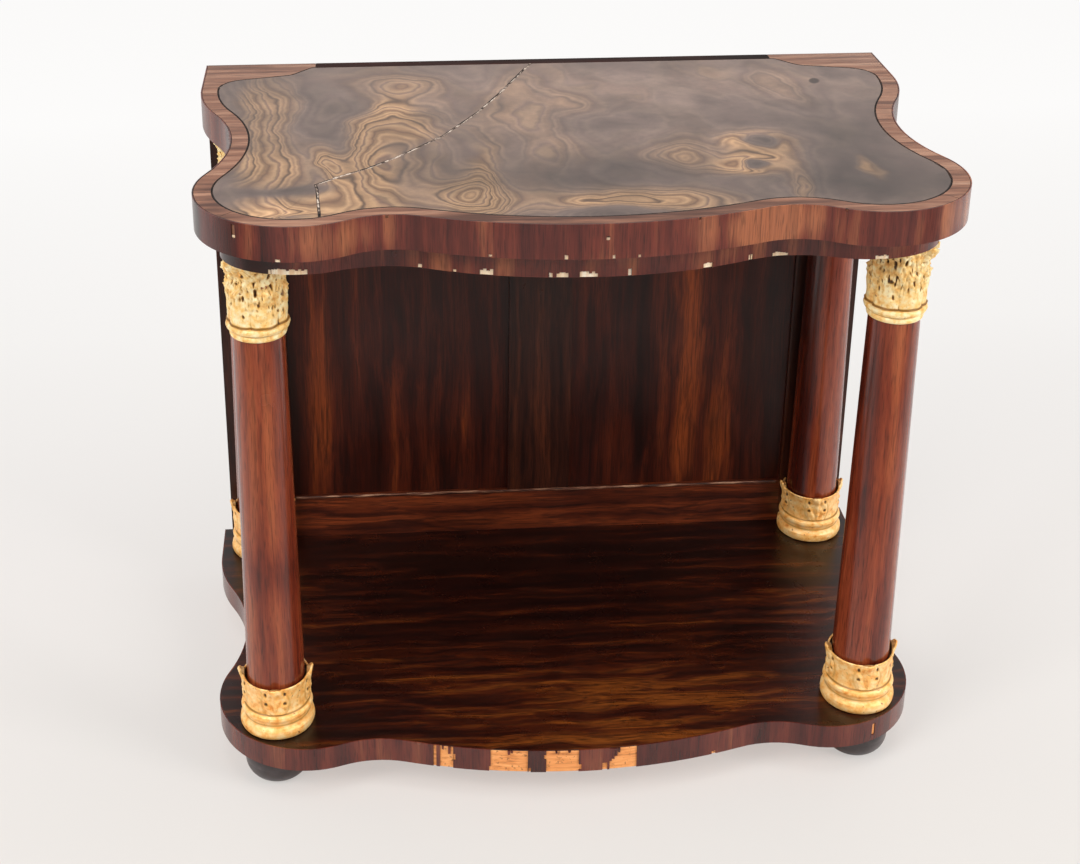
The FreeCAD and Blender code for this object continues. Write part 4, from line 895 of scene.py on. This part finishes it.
def placed(pattern, name, x, y, z, turn, node):
    """A copy of a carving with its own mesh, on its column's axis."""
    piece = pattern.copy()
    piece.data = pattern.data.copy()
    piece.name = name
    bpy.context.scene.collection.objects.link(piece)
    spin = Matrix.Rotation(math.radians(turn), 4, "Z")
    piece.data.transform(Matrix.Translation((x * MM, y * MM, z * MM)) @ spin)
    if y > 0:
        edit_all(piece)
        bpy.ops.mesh.bisect(plane_co=(0, BACK_FACE_OF_COLUMNS * MM, 0), plane_no=(0, 1, 0), use_fill=True,
                            clear_outer=True)
        bpy.ops.object.mode_set(mode="OBJECT")
    piece.data.materials.clear()
    piece.data.materials.append(gilt)
    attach(piece, "root")
    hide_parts(node)


for place_name, x, y, turn in AXES:
    placed(capital, "carved_capital_" + place_name, x, y, CAPITAL_FOOT, turn, "column_capital_" + place_name)
    placed(base, "carved_base_" + place_name, x, y, BASE_FOOT, turn, "column_base_" + place_name)
for pattern in (capital, base):
    bpy.data.objects.remove(pattern)
print("carvings", 2 * len(AXES))

# %% [markdown]
# ## Chipped veneer
# The veneer is a skin of saw-cut rosewood, and along the lower edges small pieces have
# broken away and show the pale softwood behind. Cross-grain veneer breaks in upright slices.
# So each chip is cut from a copy of the veneer with a row of thin boxes of uneven height,
# which makes the break a real step in the surface.

# %% Chip cutters
# width of a slice in mm, and depth of a cutter and reach of a merge in metres
SLICE = 3.6
CUTTER_DEPTH = 0.009
LOOSE = 0.000005
SMOOTH_ANGLE = math.radians(30)
random.seed(7)


def front_face(node, x, z):
    """Place and normal of a node's front face, in metres."""
    hit, spot, normal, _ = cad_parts[node].ray_cast(Vector((x * MM, -1, z * MM)), Vector((0, 1, 0)))
    return (spot, normal) if hit else (None, None)


def upright_box(x, y, z, normal, size):
    """A box in metres that is turned to face along a normal."""
    facing = math.atan2(normal.x, -normal.y)
    bpy.ops.mesh.primitive_cube_add(size=1, location=(x, y, z), rotation=(0, 0, facing), scale=size)
    bpy.ops.object.transform_apply(location=False, rotation=False, scale=True)
    return bpy.context.object


def joined(parts):
    """Makes one object of several, at the origin, with its place in its mesh."""
    bpy.ops.object.select_all(action="DESELECT")
    for part in parts:
        part.select_set(True)
    bpy.context.view_layer.objects.active = parts[0]
    bpy.ops.object.join()
    bpy.ops.object.transform_apply(location=True, rotation=True, scale=True)
    return bpy.context.object


def veneer_copy(node, name, *finishes):
    """A copy of a joinery node that may be cut, with its loose triangles merged."""
    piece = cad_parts[node].copy()
    piece.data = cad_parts[node].data.copy()
    piece.name = name
    for key in list(piece.keys()):
        del piece[key]
    piece.parent = None
    bpy.context.scene.collection.objects.link(piece)
    edit_all(piece)
    bpy.ops.mesh.remove_doubles(threshold=LOOSE)
    bpy.ops.object.mode_set(mode="OBJECT")
    bpy.ops.mesh.customdata_custom_splitnormals_clear()
    piece.data.materials.clear()
    for finish in finishes:
        piece.data.materials.append(finish)
    return piece


def worn_copy(node, name, chips, foot):
    """A copy of a veneer with chips cut from it."""
    cutters = []
    for first, last, low, tall in chips:
        count = max(1, round((last - first) / SLICE))
        for part in range(count):
            middle = first + (last - first) * (part + 0.5) / count
            width = (last - first) / count * 1.04
            rise = tall * random.uniform(0.55, 1.0) if count > 1 else tall
            under = 2 if low == 0 else 0
            spot, normal = front_face(node, middle, foot + low + tall / 2)
            if spot is None:
                continue
            cutter = upright_box(middle * MM, spot.y, (foot + low + (rise - under) / 2) * MM, normal,
                                 (width * MM, CUTTER_DEPTH, (rise + under) * MM))
            for vertex in cutter.data.vertices:
                vertex.co.z += random.uniform(-0.5, 0.5) * MM
            cutters.append(cutter)
    knife = joined(cutters)
    piece = veneer_copy(node, name, band_veneer)
    cut = piece.modifiers.new("chips", "BOOLEAN")
    cut.operation = "DIFFERENCE"
    cut.object = knife
    cut.solver = "EXACT"
    cut.use_self = True
    bpy.ops.object.modifier_apply(modifier=cut.name)
    bpy.ops.object.shade_smooth_by_angle(angle=SMOOTH_ANGLE)
    bpy.data.objects.remove(knife)
    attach(piece, "root")
    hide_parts(node)
    print(name, "faces", len(piece.data.polygons), "slices", len(cutters))
    return piece


# %% Chips on the apron
# first and last X of each chip in mm, its lowest place and how tall it is
APRON_CHIPS = [(-393, -345, 0, 9), (-211, -206, 0, 5), (-169, -165, 0, 4), (-137, -121, 0, 9), (-54, -50, 0, 6),
               (-45, -31, 0, 7), (-17, 5, 0, 8), (42, 46, 0, 9), (137, 149, 0, 8), (197, 203, 0, 8),
               (229, 249, 0, 6), (354, 371, 0, 7)]
APRON_FOOT = 806.0
apron_skin = worn_copy("apron_veneer", "apron_veneer_chipped", APRON_CHIPS, APRON_FOOT)

# %% [markdown]
# ## Apron set back
# The apron stands further back under the top at the two rounded front corners, where it
# leaves room for the capitals, than at the bowed middle. The veneer and the three pieces
# behind it are drawn back together, vertex by vertex, so they still meet.

# %% Apron set back
# Y where the drawing back starts, the depth over which it grows, and how far it goes in mm
BACK_FROM = -190.0
BACK_DEPTH = 88.0
MIDDLE_BACK = 5.0
CORNER_BACK = 21.0
# distances from the middle between which it grows from one to the other
CORNER_ACROSS = (120.0, 350.0)


def set_back(piece):
    """Draws the front of an apron piece back from the top's edge, most at the two corners."""
    for vertex in piece.data.vertices:
        across = abs(vertex.co.x) / MM
        ahead = (BACK_FROM - vertex.co.y / MM) / BACK_DEPTH
        most = MIDDLE_BACK + (CORNER_BACK - MIDDLE_BACK) * float(ease(across, *CORNER_ACROSS))
        vertex.co.y += most * min(max(ahead, 0.0), 1.0) * MM
    piece.data.update()


set_back(apron_skin)
for part in ("apron_rail_front", "apron_block_front_left", "apron_block_front_right"):
    piece = veneer_copy(part, part + "_set_back", fresh_break)
    set_back(piece)
    bpy.ops.object.shade_smooth_by_angle(angle=SMOOTH_ANGLE)
    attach(piece, "root")
    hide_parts(part)
    print(piece.name, "vertices", len(piece.data.vertices))

# %% [markdown]
# ## Chips on the plinth and the edge band
# The plinth has lost whole stretches of veneer. The small chips here make their ends ragged.
# Those of the edge band are short nicks along its lower edge, and a few up on its face.

# %% Chips on the plinth and the edge band
PLINTH_CHIPS = [(-198, -194, 0, 36), (191, 197, 0, 6), (421, 426, 9, 19), (-171, -168, 13, 11),
                (-122, -119, 0, 8), (-68, -65, 0, 7), (-47, -44, 22, 7), (1, 5, 3, 9), (79, 82, 0, 12)]
PLINTH_FOOT = 50.0
BAND_CHIPS = [(-381, -375, 0, 5), (-129, -125, 1, 3), (-40, -36, 0, 6), (17, 20, 0, 5), (48, 51, 0, 4),
              (9, 13, 24, 6), (-432, -427, 24, 17), (-250, -246, 41, 4), (120, 123, 42, 3), (300, 303, 42, 3)]
BAND_FOOT = 845.0
worn_copy("plinth_edge_veneer", "plinth_edge_veneer_chipped", PLINTH_CHIPS, PLINTH_FOOT)
worn_copy("top_edge_veneer", "top_edge_veneer_chipped", BAND_CHIPS, BAND_FOOT)

# %% [markdown]
# ## Scraps of veneer
# Where the veneer of the plinth fell away, a few scraps still hold on along the top edge. Each
# scrap is a short slice of veneer, set on the bare wood and turned with its curve.

# %% Scraps of veneer
# X of each scrap in mm, its width, and how far it hangs down from the plinth's top
SCRAPS = [(45, 4, 20), (49, 4, 17), (53, 4, 13), (57, 3, 7), (-95, 4, 6), (-91, 3, 3), (-30, 3, 3),
          (-12, 4, 2), (-185, 3, 5), (-176, 4, 12)]
PLINTH_TOP = 86.0
SKIN = 1.4
# how far a scrap is let into the wood, and how far below the top it starts
LET_IN = 0.1
BELOW_TOP = 1.5
scraps = []
for x, wide, hang in SCRAPS:
    spot, normal = front_face("plinth_board", x, PLINTH_TOP - 10)
    middle = spot + normal * (SKIN / 2 - LET_IN) * MM
    scrap = upright_box(x * MM, middle.y, (PLINTH_TOP - BELOW_TOP - hang / 2) * MM, normal,
                        (wide * MM, SKIN * MM, hang * MM))
    for vertex in scrap.data.vertices:
        if vertex.co.z < 0:
            vertex.co.z += random.uniform(-0.8, 0.8) * MM
            vertex.co.x *= random.uniform(0.6, 1.0)
    scraps.append(scrap)
scrap = joined(scraps)
scrap.name = "veneer_scraps_on_the_plinth"
scrap.data.materials.append(band_veneer)
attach(scrap, "root")
print("scraps", len(scraps))

# %% [markdown]
# ## Edges of slab and border
# Old stone never meets its frame quite tight, and old veneer shrinks at its joints. The
# edges of the stone and of the border pieces get a small chamfer, and the chamfer's own faces
# take the dirt that such a joint collects.

# %% Edges of slab and border
# edges that turn by less than this stay sharp
EDGE_ANGLE = math.radians(60)
# joinery node, its copy, finish, record slot and chamfer in mm
EDGED = [(f"stone_slab_{side}", f"onyx_slab_{side}", stone, "stone", 1.9) for side in ("left", "right")]
EDGED += [(f"border_{part}", f"veneered_border_{part}", border_veneer, "border_rosewood", 0.8)
          for part in ("left", "right", "front", "corner_left", "corner_right")]
for node, name, finish, record_slot, chamfer in EDGED:
    piece = veneer_copy(node, name, finish, grime)
    edge = piece.modifiers.new("worn_edge", "BEVEL")
    edge.width = chamfer * MM
    edge.segments = 1
    edge.limit_method = "ANGLE"
    edge.angle_limit = EDGE_ANGLE
    edge.use_clamp_overlap = False
    edge.material = 1
    bpy.ops.object.modifier_apply(modifier=edge.name)
    bpy.ops.object.shade_smooth_by_angle(angle=SMOOTH_ANGLE)
    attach(piece, "root")
    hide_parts(node)
    print(piece.name, "faces", len(piece.data.polygons))

# %% [markdown]
# ## Mended crack
# Plaster was smeared into the crack. It is a chain of edges that is extruded from point to
# point along the crack. The Skin modifier gives it an uneven width, one subdivision rounds
# it, and what would stand above the stone is pressed flat, as a mender's knife did.

# %% Mended crack
CRACK = [(-20, 302), (-34, 272), (-78, 166), (-115, 85), (-168, -8), (-233, -86), (-268, -120),
         (-306, -149), (-334, -174), (-332, -187), (-328, -266)]
# where more plaster stayed on the stone: X and Y in mm, and how much wider the smear is
PATCHES = [(-24, 292, 3.4), (-70, 186, 1.9), (-112, 90, 1.4), (-170, -10, 1.0), (-226, -78, 2.2),
           (-300, -146, 3.0)]
PATCH_REACH = 18
# in mm: how far apart its points are, how deep they lie, and how far its top stays below the stone
PLASTER_STEP = 7
PLASTER_SUNK = 1.1
PLASTER_TOP = 0.05
SLAB_TOP = 890.0
plaster = first_vertex("plaster_in_crack", (*CRACK[0], SLAB_TOP - PLASTER_SUNK))
for (x0, y0), (x1, y1) in zip(CRACK, CRACK[1:]):
    parts = max(1, round(math.hypot(x1 - x0, y1 - y0) / PLASTER_STEP))
    for part in range(parts):
        pull((x1 - x0) / parts, (y1 - y0) / parts, 0)
bpy.ops.object.mode_set(mode="OBJECT")
skin = plaster.modifiers.new("smear", "SKIN")
for vertex, layer in zip(plaster.data.vertices, plaster.data.skin_vertices[0].data):
    smear = random.uniform(0.5, 1.3)
    for x, y, wider in PATCHES:
        far = (vertex.co.x / MM - x) ** 2 + (vertex.co.y / MM - y) ** 2
        smear += wider * random.uniform(0.5, 1.0) * math.exp(-far / PATCH_REACH ** 2)
    layer.radius = (smear * MM * 1.3, smear * MM)
    vertex.co.x += random.uniform(-0.8, 0.8) * MM
plaster.data.skin_vertices[0].data[0].use_root = True
bpy.ops.object.modifier_apply(modifier=skin.name)
smooth = plaster.modifiers.new("soft", "SUBSURF")
smooth.levels = smooth.render_levels = 1
bpy.ops.object.modifier_apply(modifier=smooth.name)
bpy.ops.object.shade_smooth()
plaster.data.materials.append(filler)
for vertex in plaster.data.vertices:
    vertex.co.z = min(vertex.co.z, (SLAB_TOP - PLASTER_TOP) * MM)
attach(plaster, "root")
print("plaster faces", len(plaster.data.polygons))

# %% [markdown]
# ## Finishes on the joinery
# The joinery keeps its own shapes. Each node only gets the finish of the wood it is made of.

# %% Dress the nodes
FINISHES = {
    "back_bottom_rail": rail_veneer, "back_top_rail": rail_veneer, "back_muntin": upright_veneer,
    "back_bead": bead_with_painted_highlight, "plinth_board": softwood, "plinth_top_veneer": plinth_veneer,
    "top_board": fresh_break, "border_back": strip_veneer, "glue_blocks": softwood,
    "frame_screws": iron, "top_screws": iron,
}
for side in ("left", "right"):
    for row in ("front", "rear"):
        FINISHES[f"foot_{row}_{side}"] = ebonised
        FINISHES[f"column_shaft_{row}_{side}"] = column_veneer
    FINISHES["back_stile_" + side] = upright_veneer
    FINISHES["back_panel_" + side] = panel_veneer
    FINISHES["apron_rail_" + side] = fresh_break
    FINISHES["apron_block_rear_" + side] = stained_block
for name, finish in FINISHES.items():
    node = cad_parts[name]
    if not node.material_slots:
        node.data.materials.append(finish)
    for slot in node.material_slots:
        slot.material = finish
print("nodes dressed", len(FINISHES))
